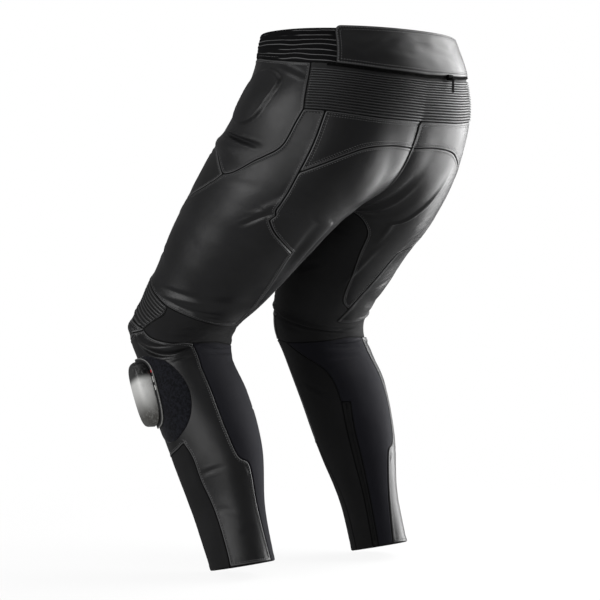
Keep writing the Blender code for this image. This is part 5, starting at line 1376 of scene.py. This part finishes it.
@dataclass
class ClothPanels:
    """Every plain panel of both legs, each in place of its solid."""

    tailor: Tailor
    pad_height: float = 3.4 * MM
    pad_slope: float = 3.8 * MM
    hem_turn: float = 9.0 * MM

    def build(self) -> None:
        """Create the panels, left and right."""
        for name, cut in PANELS.items():
            loop = loop_of(cut.seams, cut.wrap, self.tailor.spacing)
            pattern = Pattern(self.tailor.body, loop, self.tailor.spacing, self.tailor.rings)
            for side in (LEFT, RIGHT):
                self.panel(name, cut, pattern, side)

    def panel(self, name: str, cut: PanelCut, pattern: Pattern, side: Side) -> None:
        """Create one panel of one leg."""
        height = self.tailor.relief(pattern, side, cut.lap)
        if name == "hip_front":
            height += self.pad(pattern)
        height += self.hem(pattern)
        node = side.of(name)
        thing = self.tailor.make_skin(node + "_cloth", pattern, height, side, cut.finish, cut.slot)
        for distance in cut.rows:
            self.tailor.sew(pattern, height, side, distance)
        self.tailor.finish_cloth(thing, pattern, cut.wall, "stretched", LINING, node)

    def pad(self, pattern: Pattern) -> Array:
        """Return the rise over the hip protector, with a soft edge."""
        loop = rounded_loop(PAD_OUTLINE, 4 * MM)
        inner = Pattern(self.tailor.body, loop, 20 * MM, ())
        away, _ = inner.to_edge(pattern.points)
        signed = np.where(inside_loop(pattern.points, loop), away, -away)
        rise = smoothstep(-0.45 * self.pad_slope, 0.55 * self.pad_slope, signed)
        lip = 0.5 * MM * bell((signed - 0.6 * self.pad_slope) / (4 * MM))
        line = 0.5 * MM * bell((signed + 0.45 * self.pad_slope) / (2.5 * MM))
        return self.pad_height * rise + lip - line

    def hem(self, pattern: Pattern) -> Array:
        """Return the thickness of the turned hem, with its stitch line."""
        up = HEM_DOWN - pattern.points[:, 1]
        turned = 0.5 * MM * (1 - smoothstep(self.hem_turn, self.hem_turn + 1.5 * MM, up))
        return turned - 0.3 * MM * bell((up - self.hem_turn) / (1.6 * MM))


@dataclass
class RibbedSkin:
    """A gathered sheet: a grid of points over the body that ribs are pressed into."""

    tailor: Tailor
    node: str
    suffix: str
    top: Array
    low: Array
    rows: int
    columns: int
    side: Side

    def grid(self) -> tuple[Array, Array, Array]:
        """Return the grid's points as (around, down), and its row and column shares."""
        u, v = np.linspace(0, 1, self.columns + 1), np.linspace(0, 1, self.rows + 1)
        top, low = points_at(self.top, u), points_at(self.low, u)
        points = top[None] * (1 - v[:, None, None]) + low[None] * v[:, None, None]
        return points.reshape(-1, 2), np.repeat(v, len(u)), np.tile(u, len(v))

    def row(self, cells: Array, index: int) -> Array:
        """Return one row of the grid's points."""
        return cells.reshape(self.rows + 1, -1, 2)[index]

    def build(self, cells: Array, ribs: Array, swell: Array, height: Array, seam: Array,
            sizes: tuple[float, float], finish: Finish, slot: str, width: float) -> None:
        """Create the skin, press the ribs in and make a sheet of it.

        Args:
            cells: the grid's points as (around, down).
            ribs: how many ribs lie above each point.
            swell: the share of the rib's height at each point.
            height: the height of each point without ribs.
            seam: the shading value: 0 in a groove, painted dark as painted shade, about 2 on a crest, made
                paler as painted highlight with some burnish.
            sizes: the ribs' height and the depth of the grooves between them.
            finish: the cloth.
            slot: not used.
            width: the width of the cut.
        """
        points, out = self.tailor.body.place(*cells.T, height, self.side)
        faces = facing(points, grid_faces(self.rows + 1, self.columns + 1), out)
        thing = mesh_object(f"{self.node}_{self.suffix}", points, faces, finish)
        for name, values in (("out", out), ("ribs", ribs), ("swell", swell), ("seam_mm", seam)):
            add_value(thing, name, values)
        add_cloth_uv(thing, cells[:, 0] * TYPICAL_GIRTH, cells[:, 1])
        run_tree(thing, rib_tree(), {"Height": sizes[0], "Groove": sizes[1], "Finish": finish.build()})
        area = skin_area(thing)
        solidify(thing, LEATHER_WALL, LINING)
        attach(thing, "garment")
        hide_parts(self.node)
        declare_cloth(thing, area, width, area / width * GATHER_LENGTH)


def rib_phase(ribs: Array) -> Array:
    """Return 0 in the grooves and 0.5 on the crests of ribs."""
    return np.abs((ribs + 0.5) % 1.0 - 0.5)


def rib_shade(ribs: Array) -> Array:
    """Return the shading value of sewn ribs: 0 in the grooves, about 2 on the crests."""
    return np.clip(6.0 * (rib_phase(ribs) - 0.18), 0, 1.9)


def two_seams(first: str, second: str, step: float) -> Array:
    """Return two seams that follow each other as one line."""
    return np.vstack([seam_line(first, step)[:-1], seam_line(second, step)])


def both_sides(line: Array) -> Array:
    """Return a left-side line that ends at the centre back, continued on the right."""
    mirrored = line[::-1][1:] * [-1, 1] + [2, 0]
    return np.vstack([line, mirrored])


@dataclass
class BackAccordion:
    """The ribbed leather yoke across the back of the waist."""

    tailor: Tailor
    ribs: int = 16
    plain: int = 2
    height: float = 2.1 * MM
    groove: float = 1.3 * MM
    per_rib: int = 7
    columns: int = 179
    pucker_pitch: float = 5.2 * MM
    pucker_girth: float = 1.28 * TYPICAL_GIRTH
    cut_width: float = 0.4464

    def build(self) -> None:
        """Create the accordion and the stitches in its grooves."""
        top = both_sides(seam_line("band_low_back", 4 * MM))
        low = both_sides(two_seams("yoke_low_side", "yoke_low_back", 4 * MM))
        count = self.ribs + self.plain
        skin = RibbedSkin(self.tailor, "back_accordion", "ribs", top, low, count * self.per_rib,
            self.columns, BOTH)
        cells, v, u = skin.grid()
        ribs = np.maximum(v * count - self.plain, 0)
        ends = smoothstep(0.0, 0.012, u) * smoothstep(0.0, 0.012, 1 - u)
        flat = np.stack([cells[:, 0] * 14, np.floor(ribs) * 3.7, np.zeros(len(u))], axis=1)
        tired = 1 + 0.22 * noise_at(flat, 1.0, 2.2)
        wave = 2 * math.pi * cells[:, 0] * self.pucker_girth / self.pucker_pitch
        pucker = 1 - 0.25 * (0.5 + 0.5 * np.cos(wave + 1.7 * np.floor(ribs)))
        skin.build(cells, ribs, ends * tired * pucker * (ribs > 0), -self.groove * (1 - ends),
            rib_shade(ribs), (self.height, self.groove), RIB_LEATHER, "leather", self.cut_width)
        for k in range(self.plain, count):
            self.tailor.lay(skin.row(cells, k * self.per_rib)[2:-2], -self.groove, BOTH)


@dataclass
class KneeAccordion:
    """The ribbed leather above one knee cap."""

    tailor: Tailor
    side: Side
    ribs: int = 10
    height: float = 1.8 * MM
    groove: float = 1.1 * MM
    per_rib: int = 8
    columns: int = 69
    cut_width: float = 0.2021

    def build(self) -> None:
        """Create the accordion and the stitches in its grooves."""
        top = two_seams("knee_top_inner", "knee_top_outer", 3 * MM)
        low = seam_line("cap_top", 3 * MM)
        skin = RibbedSkin(self.tailor, self.side.of("knee_accordion"), "ribs", top, low,
            self.ribs * self.per_rib, self.columns, self.side)
        cells, v, u = skin.grid()
        cells = self.follow_side(cells, v, u)
        ribs = v * self.ribs
        ends = smoothstep(0.0, 0.02, u) * smoothstep(0.0, 0.02, 1 - u)
        flat = np.stack([cells[:, 0] * 18, np.floor(ribs) * 3.1, np.full(len(u), 2.0 * self.side.value)],
            axis=1)
        tired = 1 + 0.25 * noise_at(flat, 1.0, 5.1)
        height = fold_height(*cells.T, self.side) - self.groove * (1 - ends)
        skin.build(cells, ribs, ends * tired, height, rib_shade(ribs), (self.height, self.groove),
            RIB_LEATHER, "leather", self.cut_width)
        for k in range(1, self.ribs):
            line = skin.row(cells, k * self.per_rib)[1:-1]
            self.tailor.lay(line, fold_height(*line.T, self.side) - self.groove, self.side)

    def follow_side(self, cells: Array, v: Array, u: Array) -> Array:
        """Return the grid with its outer end on the seam of the stretch insert."""
        wanted = points_at(seam_line("knee_outer_side", 1 * MM), v)
        start, end = np.array(CORNERS["knee_outer_top"]), np.array(CORNERS["knee_outer_low"])
        straight = start[None] * (1 - v[:, None]) + end[None] * v[:, None]
        return cells + (wanted - straight) * u[:, None]


@dataclass
class Waistband:
    """The gathered waistband of one side."""

    tailor: Tailor
    side: Side
    gathers: int = 6
    height: float = 1.5 * MM
    groove: float = 0.2 * MM
    fade: tuple[float, float] = (0.730, 0.765)
    rows: int = 78
    columns: int = 133
    stitch_rows: tuple[int, int] = (70, 9)
    cut_width: float = 0.44

    def build(self) -> None:
        """Create the band and the stitches along its two edges."""
        low = two_seams("band_low_side", "band_low_back", 3 * MM)
        skin = RibbedSkin(self.tailor, self.side.of("waistband"), "cloth", low * [1, 0], low, self.rows,
            self.columns, self.side)
        cells, v, _ = skin.grid()
        a = cells[:, 0]
        flat = np.stack([a * 9, v * 3, np.full(len(a), 4.0 * self.side.value)], axis=1)
        ribs = v * (self.gathers + 1) + 0.34 * noise_at(flat * [1.3, 1, 1], 1.0, 1.7)
        strength = 0.64 + 0.85 * noise_at(flat * [0.7, 1.8, 1], 1.0, 6.6)
        short = 1.0 + 0.25 * noise_at(flat * [1.1, 2.6, 1], 1.0, 9.2)
        band = smoothstep(0.06, 0.14, v) * smoothstep(0.04, 0.12, 1 - v)
        back = 1 - smoothstep(*self.fade, a) * 0.9
        swell = np.clip(strength, 0.08, 1.15) * short * band * back
        height = -0.9 * MM * (1 - smoothstep(0.0, 0.035, v))
        height -= 1.0 * MM * (1 - smoothstep(0.0, 0.035, 1 - v))
        height += 0.5 * MM * bell((v - 0.10) / 0.07)
        # Painted highlight and shade: a pale line along each gather's crest, and the band darkened between
        # them, since the value never drops below 0.75.
        crest = 2.1 * (2 * rib_phase(ribs)) ** 4
        crest *= np.clip(2.0 * strength * short - 0.5, 0, 0.95)
        skin.build(cells, ribs, swell, height, np.maximum(crest, 0.75), (self.height, self.groove),
            BAND_LEATHER, "stretch", self.cut_width)
        for row in self.stitch_rows:
            self.tailor.lay(skin.row(cells, row)[1:-1], 0.3 * MM, self.side)


@dataclass
class LayerPieces:
    """Pieces that lie on other cloth: flap, zip tape, strip, placket and loop patches."""

    tailor: Tailor
    flap_start: float = 0.722
    flap_height: float = 3.7 * MM
    flap_rise: float = 2.0 * MM
    flap_gap: float = 0.8 * MM
    flap_corner: float = 9.0 * MM
    zip_start: float = 0.695
    zip_height: float = 1.7 * MM
    patch_centre: tuple[float, float] = (0.430, 0.632)
    patch_radii: tuple[float, float] = (0.131, 0.064)

    def build(self) -> None:
        """Create the layered pieces."""
        self.kidney_flap()
        self.jacket_zip()
        self.strip("centre_back_strip", 1.0, (0.1292, 0.228), 6.0 * MM, 0.8 * MM, 1.1 * MM)
        self.strip("fly_placket", 0.0, (0.001, 0.160), 34.0 * MM, 1.3 * MM, 1.3 * MM)
        for side in (LEFT, RIGHT):
            self.loop_patch(side)

    def add(self, node: str, suffix: str, pattern: Pattern, height: Array, side: Side, wall: float,
            finish: Finish, slot: str, rows: tuple[float, ...] = ()) -> None:
        """Create a layered piece with rows of stitches inside its edge."""
        thing = self.tailor.make_skin(f"{node}_{suffix}", pattern, height, side, finish, slot)
        for distance in rows:
            self.tailor.sew(pattern, height, side, distance)
        self.tailor.finish_cloth(thing, pattern, wall, "laid", None, node)

    def rolled(self, pattern: Pattern, drop: float, stitch: float) -> Array:
        """Return a height that rolls down at the edge and dips along the stitches."""
        away = pattern.edge_distance
        return (-drop * (1 - smoothstep(0.0, 1.6 * MM, away)) - 0.3 * MM * bell((away - stitch)
            / (1.2 * MM)))

    def kidney_flap(self) -> None:
        """Create the flap with rounded upper corners that stands over the band's back."""
        seam = seam_line("band_low_back", 2 * MM)
        low = seam[seam[:, 0] > self.flap_start] - [0, self.flap_gap]
        rise = self.flap_corner / 0.42
        angles = np.linspace(math.pi / 2, 0, 7)
        arc = np.stack([self.flap_start + rise * (1 - np.sin(angles)),
            self.flap_corner * (1 - np.cos(angles))], axis=1)
        top = respaced(np.array([[arc[-1, 0], 0.0], [1.0, 0.0]]), 3.5 * MM)[1:]
        side = np.vstack([respaced(np.vstack([low[:1], arc[:1]]), 3 * MM)[:-1], arc, top])
        upper, lower = both_sides(side), both_sides(low)[::-1]
        loop = np.vstack([upper, respaced(lower, 3.5 * MM)[1:-1]])
        pattern = Pattern(self.tailor.body, loop, 4 * MM, self.tailor.rings)
        a, d = pattern.points.T
        flat = np.stack([a * 9, d * 30, np.zeros(len(a))], axis=1)
        crumple = 0.9 * MM * noise_at(flat, 1.0, 4.4) + 0.4 * MM * noise_at(flat, 2.6, 1.1)
        calm = smoothstep(3 * MM, 11 * MM, pattern.edge_distance)
        height = self.flap_height + crumple * calm + self.rolled(pattern, 1.0 * MM, 3.0 * MM)
        for fold in FLAP_FOLDS.values():
            height += crease_height(fold, FINE_FOLD_END, a, d)
        thing = self.tailor.make_skin("kidney_flap_cloth", pattern, height, BOTH, LEATHER, "leather")
        for vertex, up in zip(thing.data.vertices, self.lift(d)):
            vertex.co.z += float(up)
        for distance in (3.0 * MM, 6.5 * MM):
            self.tailor.sew(pattern, height, BOTH, distance, self.lift)
        self.tailor.finish_cloth(thing, pattern, 2.0 * MM, "laid", None, "kidney_flap")

    def lift(self, down: Array) -> Array:
        """Return how far the flap stands above its place on the band."""
        return self.flap_rise * (1 - smoothstep(0.0, 20 * MM, down))

    def jacket_zip(self) -> None:
        """Create the zip tape along the top of the accordion, with its teeth."""
        seam = seam_line("band_low_back", 3 * MM)
        line = both_sides(seam[seam[:, 0] > self.zip_start])
        loop = np.vstack([line - [0, 3 * MM], (line + [0, 3.4 * MM])[::-1]])
        pattern = Pattern(self.tailor.body, loop, 2.2 * MM, (0.7 * MM,))
        height = self.zip_height + self.rolled(pattern, 0.5 * MM, 9 * MM)
        self.add("jacket_zip", "tape", pattern, height, BOTH, 1.2 * MM, TAPE, "zip_tape")
        teeth = Rows("jacket_zip_teeth", RowShape.TOOTH, 1.7 * MM, (1.0 * MM, 3.2 * MM, 1.3 * MM), 0.4 * MM,
            ZIP_METAL, "dark_metal")
        middle = line + [0, 1.0 * MM]
        level = np.full(len(middle), self.zip_height)
        teeth.add(*self.tailor.body.place(*middle.T, level, BOTH))
        teeth.make()

    def strip(self, node: str, middle: float, down: tuple[float, float], width: float, offset: float,
            wall: float) -> None:
        """Create a strip along a centre seam with a row of stitches at both edges."""
        body, step = self.tailor.body, 0.02
        beside = abs(middle - step)
        places = respaced(np.array([[middle, down[0]], [middle, down[1]]]), 3 * MM)
        away = body.plain(np.full(len(places), beside), places[:, 1])
        girth = np.linalg.norm(body.plain(*places.T) - away, axis=1) / step
        reach = np.stack([width / 2 / girth, 0 * girth], axis=1)
        left, right = places - reach, places + reach
        ends = max(int(width / (4 * MM)), 1)
        u = np.linspace(0, 1, ends + 1)[1:-1, None]
        low = left[-1] * (1 - u) + right[-1] * u
        top = right[0] * (1 - u) + left[0] * u
        loop = np.vstack([left, low, right[::-1], top])
        pattern = Pattern(body, loop, 2.6 * MM, (0.7 * MM, 1.6 * MM))
        stitch = 1.6 * MM if width < 10 * MM else 3.5 * MM
        height = offset + wall + self.rolled(pattern, 0.7 * MM, stitch)
        height += fold_height(*pattern.points.T, BOTH)
        self.add(node, "cloth", pattern, height, BOTH, wall, LEATHER, "leather", (stitch,))

    def loop_patch(self, side: Side) -> None:
        """Create the oval of loop pile that carries the knee slider."""
        angles = np.linspace(0, 2 * math.pi, 90, endpoint=False)
        loop = np.stack([self.patch_centre[0] + self.patch_radii[0] * np.cos(angles),
            self.patch_centre[1] + self.patch_radii[1] * np.sin(angles)], axis=1)
        pattern = Pattern(self.tailor.body, loop, 4 * MM, (0.8 * MM, 2.0 * MM))
        a, d = pattern.points.T
        height = fold_height(a, d, side) * smoothstep(0.0, 0.02, d - 0.572)
        height = height + 1.4 * MM + self.rolled(pattern, 0.8 * MM, 3.0 * MM)
        self.add(side.of("loop_patch"), "pile", pattern, height, side, 1.1 * MM, LOOP, "loop")


@dataclass
class KneeSlider:
    """The hard puck and its flexible base, stuck to one loop patch."""

    tailor: Tailor
    side: Side
    centre: tuple[float, float] = (0.376, 0.621)
    size: tuple[float, float] = (62 * MM, 94 * MM)
    square: float = 3.4
    taper: float = 0.07
    margin: float = 3.5 * MM
    base_offset: float = 2.3 * MM
    base_wall: float = 2.2 * MM
    puck_height: float = 15 * MM
    crown: tuple[float, float] = (0.11, 0.16)
    sides: int = 72
    mark_width: float = 1.8 * MM

    # size of the ring, share of the height, share of the flat crown
    PUCK_LAYERS = ((0.02, 0.0, 0.0), (0.5, 0.0, 0.0), (0.96, 0.0, 0.0), (0.985, 0.04, 0.08),
        (1.0, 0.12, 0.15), (1.0, 0.40, 0.55), (0.998, 0.62, 0.80), (0.985, 0.74, 0.92), (0.96, 0.83, 1.0),
        (0.925, 0.89, 1.0), (0.87, 0.945, 1.0), (0.80, 0.98, 1.0), (0.60, 0.995, 1.0), (0.40, 1.0, 1.0),
        (0.20, 1.0, 1.0), (0.02, 1.0, 1.0))
    # place down from the puck's middle, length, finish
    MARKS = ((-0.030, 0.004, MARK_RED), (-0.020, 0.009, MARK_WHITE), (-0.006, 0.007, MARK_WHITE))

    def build(self) -> None:
        """Create the base and the puck."""
        self.prepare()
        self.base()
        self.puck()
        self.marks()

    def prepare(self) -> None:
        """Work out the place of the slider on the left shin."""
        a, d = self.centre
        body = self.tailor.body
        pair = body.plain(np.array([a + 0.01, a - 0.01]), np.array([d, d]))
        self.girth = float(np.linalg.norm(pair[0] - pair[1])) / 0.02
        level, _ = body.rates(np.array([a]), np.array([d]))
        self.level = level[0] / np.linalg.norm(level[0])
        self.outward = body.outward(np.array([a]), np.array([d]))[0]
        self.fall = np.cross(self.level, self.outward)
        self.middle = body.plain(np.array([a]), np.array([d]))[0]

    def outline(self, scale: float, margin: float = 0.0) -> Array:
        """Return the slider's outline in metres, across and down."""
        angle = np.linspace(0, 2 * math.pi, self.sides, endpoint=False)
        c, s = np.cos(angle), np.sin(angle)
        c = np.sign(c) * np.abs(c) ** (2 / self.square)
        s = np.sign(s) * np.abs(s) ** (2 / self.square)
        narrow = 1 - self.taper * s
        return np.stack([(self.size[0] / 2 + margin) * c * scale * narrow, (self.size[1] / 2 + margin) * s
            * scale], axis=1)

    def on_shin(self, spots: Array, lift: float) -> Array:
        """Return points over the left shin at some metres from the slider's middle."""
        a = self.centre[0] + spots[:, 0] / self.girth
        d = self.centre[1] + spots[:, 1]
        return (self.tailor.body.plain(a, d) + self.tailor.body.outward(a, d) * lift)

    def flat(self, spots: Array, lift: Array) -> Array:
        """Return points on a plane over the slider's middle."""
        return (self.middle + spots[:, :1] * self.level + spots[:, 1:] * self.fall + lift[:, None]
            * self.outward)

    def stack(self, node: str, rings: list[Array], spots: list[Array], finish: Finish, slot: str) -> Object:
        """Create a closed piece from rings, the first and last of them tiny."""
        points = np.vstack(rings) * [self.side.value, 1, 1]
        faces = closed_outwards(points, stack_faces(len(rings), self.sides))
        thing = mesh_object(node + "_moulding", points, faces, finish)
        add_value(thing, "along", np.vstack(spots)[:, 1] / self.size[1] + 0.5)
        thing.data.set_sharp_from_angle(angle=math.radians(40))
        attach(thing, "garment")
        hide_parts(node)
        LOG.info("%s: %d faces", thing.name, len(faces))
        return thing

    def base(self) -> None:
        """Create the thin base that follows the shin, with a pale grey rim."""
        low, high = self.base_offset, self.base_offset + self.base_wall
        layers = ((0.02, low), (0.5, low), (0.985, low), (1.0, low + 0.4 * MM), (1.0, high - 0.5 * MM),
            (0.99, high - 0.1 * MM), (0.975, high), (0.5, high), (0.02, high))
        spots = [self.outline(s, self.margin) for s, _ in layers]
        rings = [self.on_shin(spot, lift) for spot, (_, lift) in zip(spots, layers)]
        thing = self.stack(self.side.of("slider_base"), rings, spots, BASE_PLASTIC, "base_plastic")
        paler = [1.0 if scale >= 0.985 and lift > low else 0.0 for scale, lift in layers]
        add_value(thing, "rim", np.repeat(np.array(paler), self.sides))

    def puck(self) -> None:
        """Create the hard puck with rounded shoulders and a groove round its foot."""
        foot = self.base_offset + self.base_wall + 0.4 * MM
        spots, rings = [], []
        for scale, share, flatness in self.PUCK_LAYERS:
            spot = self.outline(scale)
            height = share * self.puck_height
            curved = self.on_shin(spot, foot + height)
            crown = 1 - (spot[:, 0] / self.crown[0]) ** 2 - (spot[:, 1] / self.crown[1]) ** 2
            plane = self.flat(spot, foot + height * crown)
            spots.append(spot)
            rings.append(curved * (1 - flatness) + plane * flatness)
        self.stack(self.side.of("slider_puck"), rings, spots, SLIDER_PLASTIC, "slider_plastic")

    def marks(self) -> None:
        """Create a few plain dashes on the base beside the puck."""
        high = self.base_offset + self.base_wall + 0.05 * MM
        edge = self.size[0] / 2 + 0.4 * self.margin
        left, right = edge - self.mark_width / 2, edge + self.mark_width / 2
        for index, (fall, length, finish) in enumerate(self.MARKS):
            spots = np.array([(left, fall), (right, fall), (right, fall + length), (left, fall + length)])
            rings = [self.on_shin(spots, high - 0.3 * MM), self.on_shin(spots, high + 0.15 * MM)]
            points = np.vstack(rings) * [self.side.value, 1, 1]
            faces = closed_outwards(points, stack_faces(2, 4))
            name = self.side.of(f"slider_dash_{index + 1}")
            thing = mesh_object(name, points, faces, finish)
            thing.data.shade_flat()
            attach(thing, "garment")


@dataclass
class Hardware:
    """The fly snap, and the finishes of the zip slider and its pull tab."""

    tailor: Tailor
    radius: float = 7.5 * MM
    thickness: float = 2.0 * MM
    sides: int = 48

    # size of the ring, share of the thickness
    PROFILE = ((0.02, 0.0), (0.98, 0.0), (1.0, 0.25), (0.985, 0.62), (0.93, 0.86), (0.86, 0.95),
        (0.78, 0.93), (0.72, 0.80), (0.60, 0.80), (0.50, 0.93), (0.30, 0.99), (0.02, 1.0))

    def build(self) -> None:
        """Create the snap and finish the metal pieces."""
        low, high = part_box("fly_snap")
        body = self.tailor.body
        out = body.place(np.array([0.0]), np.array([0.015]), np.array([0.0]), BOTH)[1][0]
        across = np.array([1.0, 0.0, 0.0])
        upward = np.cross(across, out)
        centre = np.array((low + high) / 2) - out * self.thickness / 2
        angle = np.linspace(0, 2 * math.pi, self.sides, endpoint=False)[:, None]
        rings = [centre + out * lift * self.thickness + self.radius * size * (np.cos(angle) * across
            + np.sin(angle) * upward) for size, lift in self.PROFILE]
        points = np.vstack(rings)
        faces = closed_outwards(points, stack_faces(len(rings), self.sides))
        thing = mesh_object("fly_snap_cap", points, faces, DARK_METAL)
        thing.data.set_sharp_from_angle(angle=math.radians(35))
        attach(thing, "garment")
        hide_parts("fly_snap")
        for name in ("zip_slider", "zip_pull"):
            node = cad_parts[name]
            for index in range(len(node.material_slots)):
                node.material_slots[index].material = DARK_METAL.build()
        LOG.info("hardware: snap, zip slider and pull tab finished")


@dataclass
class AnkleZip:
    """The closed coil zip down one ankle."""

    tailor: Tailor
    side: Side

    def build(self) -> None:
        """Create the row of coils down the middle of the tape."""
        front, back = seam_line("zip_front", 3 * MM), seam_line("zip_back", 3 * MM)
        share = np.linspace(0, 1, 60)
        middle = (0.5 * (points_at(front, share) + points_at(back, share)))[1:-1]
        coils = Rows(self.side.of("ankle_zip_coils"), RowShape.TOOTH, 1.5 * MM,
            (0.9 * MM, 2.6 * MM, 0.9 * MM), 0.1 * MM, ZIP_METAL, "dark_metal")
        height = fold_height(*middle.T, self.side)
        coils.add(*self.tailor.body.place(*middle.T, height, self.side))
        coils.make()


@dataclass
class Studio:
    """A pale floor, soft light and the camera of the photograph."""

    target: Triple = (0.0, -0.127, -0.38)
    azimuth: float = 138.0
    elevation: float = 1.0
    distance: float = 2.7
    lens: float = 108.5
    floor_level: float = -0.774
    floor_radius: float = 1.1
    floor_centre: float = -0.1
    floor_sides: int = 96
    fill: float = 0.14

    # to the camera's right, towards it and up from the target; width and height; power
    LIGHTS = (("side_softbox", (1.5, -0.70, 0.20), (1.6, 2.6), 86), ("back_softbox", (-2.1, 1.3, 0.45),
        (1.6, 1.6), 27), ("low_softbox", (-0.9, 2.0, -0.22), (1.2, 0.7), 7), ("top_softbox",
        (0.0, 0.2, 2.0), (1.4, 1.4), 5))

    def build(self) -> None:
        """Create the stage, the lights and the camera."""
        scene = bpy.context.scene
        scene.view_settings.view_transform = "Standard"
        a, e = math.radians(self.azimuth), math.radians(self.elevation)
        away = Vector((math.sin(a) * math.cos(e), -math.cos(a) * math.cos(e), math.sin(e)))
        target = Vector(self.target)
        camera = show("camera", bpy.data.cameras.new("camera"))
        camera.data.lens = self.lens
        camera.data.sensor_width = 36
        camera.data.clip_end = 50
        camera.location = target + away * self.distance
        camera.rotation_euler = (-away).to_track_quat("-Z", "Y").to_euler()
        scene.camera = camera
        self.world(scene)
        self.floor()
        right = Vector((math.cos(a), math.sin(a), 0))
        for name, (aside, towards, up), size, power in self.LIGHTS:
            place = target + right * aside + away * towards + Vector((0, 0, up))
            self.light(name, place, target, size, power)

    def world(self, scene: bpy.types.Scene) -> None:
        """Set a pale surrounding that the camera sees as white."""
        world = bpy.data.worlds.new("studio")
        world.use_nodes = True
        pen = Pen(world.node_tree)
        path = pen.node("ShaderNodeLightPath").outputs["Is Camera Ray"]
        pen.fill(world.node_tree.nodes["Background"], {"Color": rgb(WHITE), "Strength": pen.ramp(path, 0.0,
            1.0, self.fill, 1.0)})
        scene.world = world

    def floor(self) -> None:
        """Create a round pale floor that fades into the surrounding."""
        mesh = bpy.data.meshes.new("floor")
        turns = [2 * math.pi * k / self.floor_sides for k in range(self.floor_sides)]
        points = [(self.floor_radius * math.cos(turn), self.floor_centre + self.floor_radius
            * math.sin(turn), self.floor_level) for turn in turns]
        mesh.from_pydata(points, [], [tuple(range(self.floor_sides))])
        floor = show("floor", mesh)
        made = bpy.data.materials.new("pale_floor")
        made.use_nodes = True
        pen = Pen(made.node_tree)
        far = pen.node("ShaderNodeVectorMath", {0: pen.place(), 1: (0, -self.floor_centre,
            -self.floor_level)}, operation="ADD")
        size = pen.node("ShaderNodeVectorMath", {0: far.outputs[0]}, operation="LENGTH")
        fade = pen.ramp(size.outputs["Value"], 0.30, self.floor_radius, 0.15, 0.0)
        pen.fill(made.node_tree.nodes["Principled BSDF"], {"Base Color": (0.9, 0.9, 0.9, 1),
            "Roughness": 0.6, "Alpha": fade, "Emission Color": rgb(WHITE), "Emission Strength": 0.36})
        mesh.materials.append(made)

    def light(self, name: str, place: Vector, target: Vector, size: tuple[float, float],
            power: float) -> None:
        """Create a soft light, as wide and as high as size, that looks at the target."""
        data = bpy.data.lights.new(name, "AREA")
        data.shape = "RECTANGLE"
        data.size, data.size_y = size
        data.energy = power
        lamp = show(name, data)
        lamp.location = place
        lamp.rotation_euler = (target - place).to_track_quat("-Z", "Y").to_euler()


def stitch_rows(side: Side) -> Rows:
    """Return an empty set of stitches for one side or the middle."""
    return Rows(side.of("stitching"), RowShape.STITCH, 3.7 * MM, (2.3 * MM, 0.85 * MM, 0.6 * MM), 0.12 * MM,
        THREAD, "textile")


def main() -> None:
    """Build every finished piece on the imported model."""
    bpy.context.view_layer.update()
    body = Body()
    stitches = {side: stitch_rows(side) for side in Side}
    tailor = Tailor(body, stitches)
    ClothPanels(tailor).build()
    BackAccordion(tailor).build()
    LayerPieces(tailor).build()
    Hardware(tailor).build()
    for side in (LEFT, RIGHT):
        KneeAccordion(tailor, side).build()
        Waistband(tailor, side).build()
        KneeSlider(tailor, side).build()
        AnkleZip(tailor, side).build()
    for rows in stitches.values():
        rows.make()
    Studio().build()


if __name__ == "__main__":
    main()
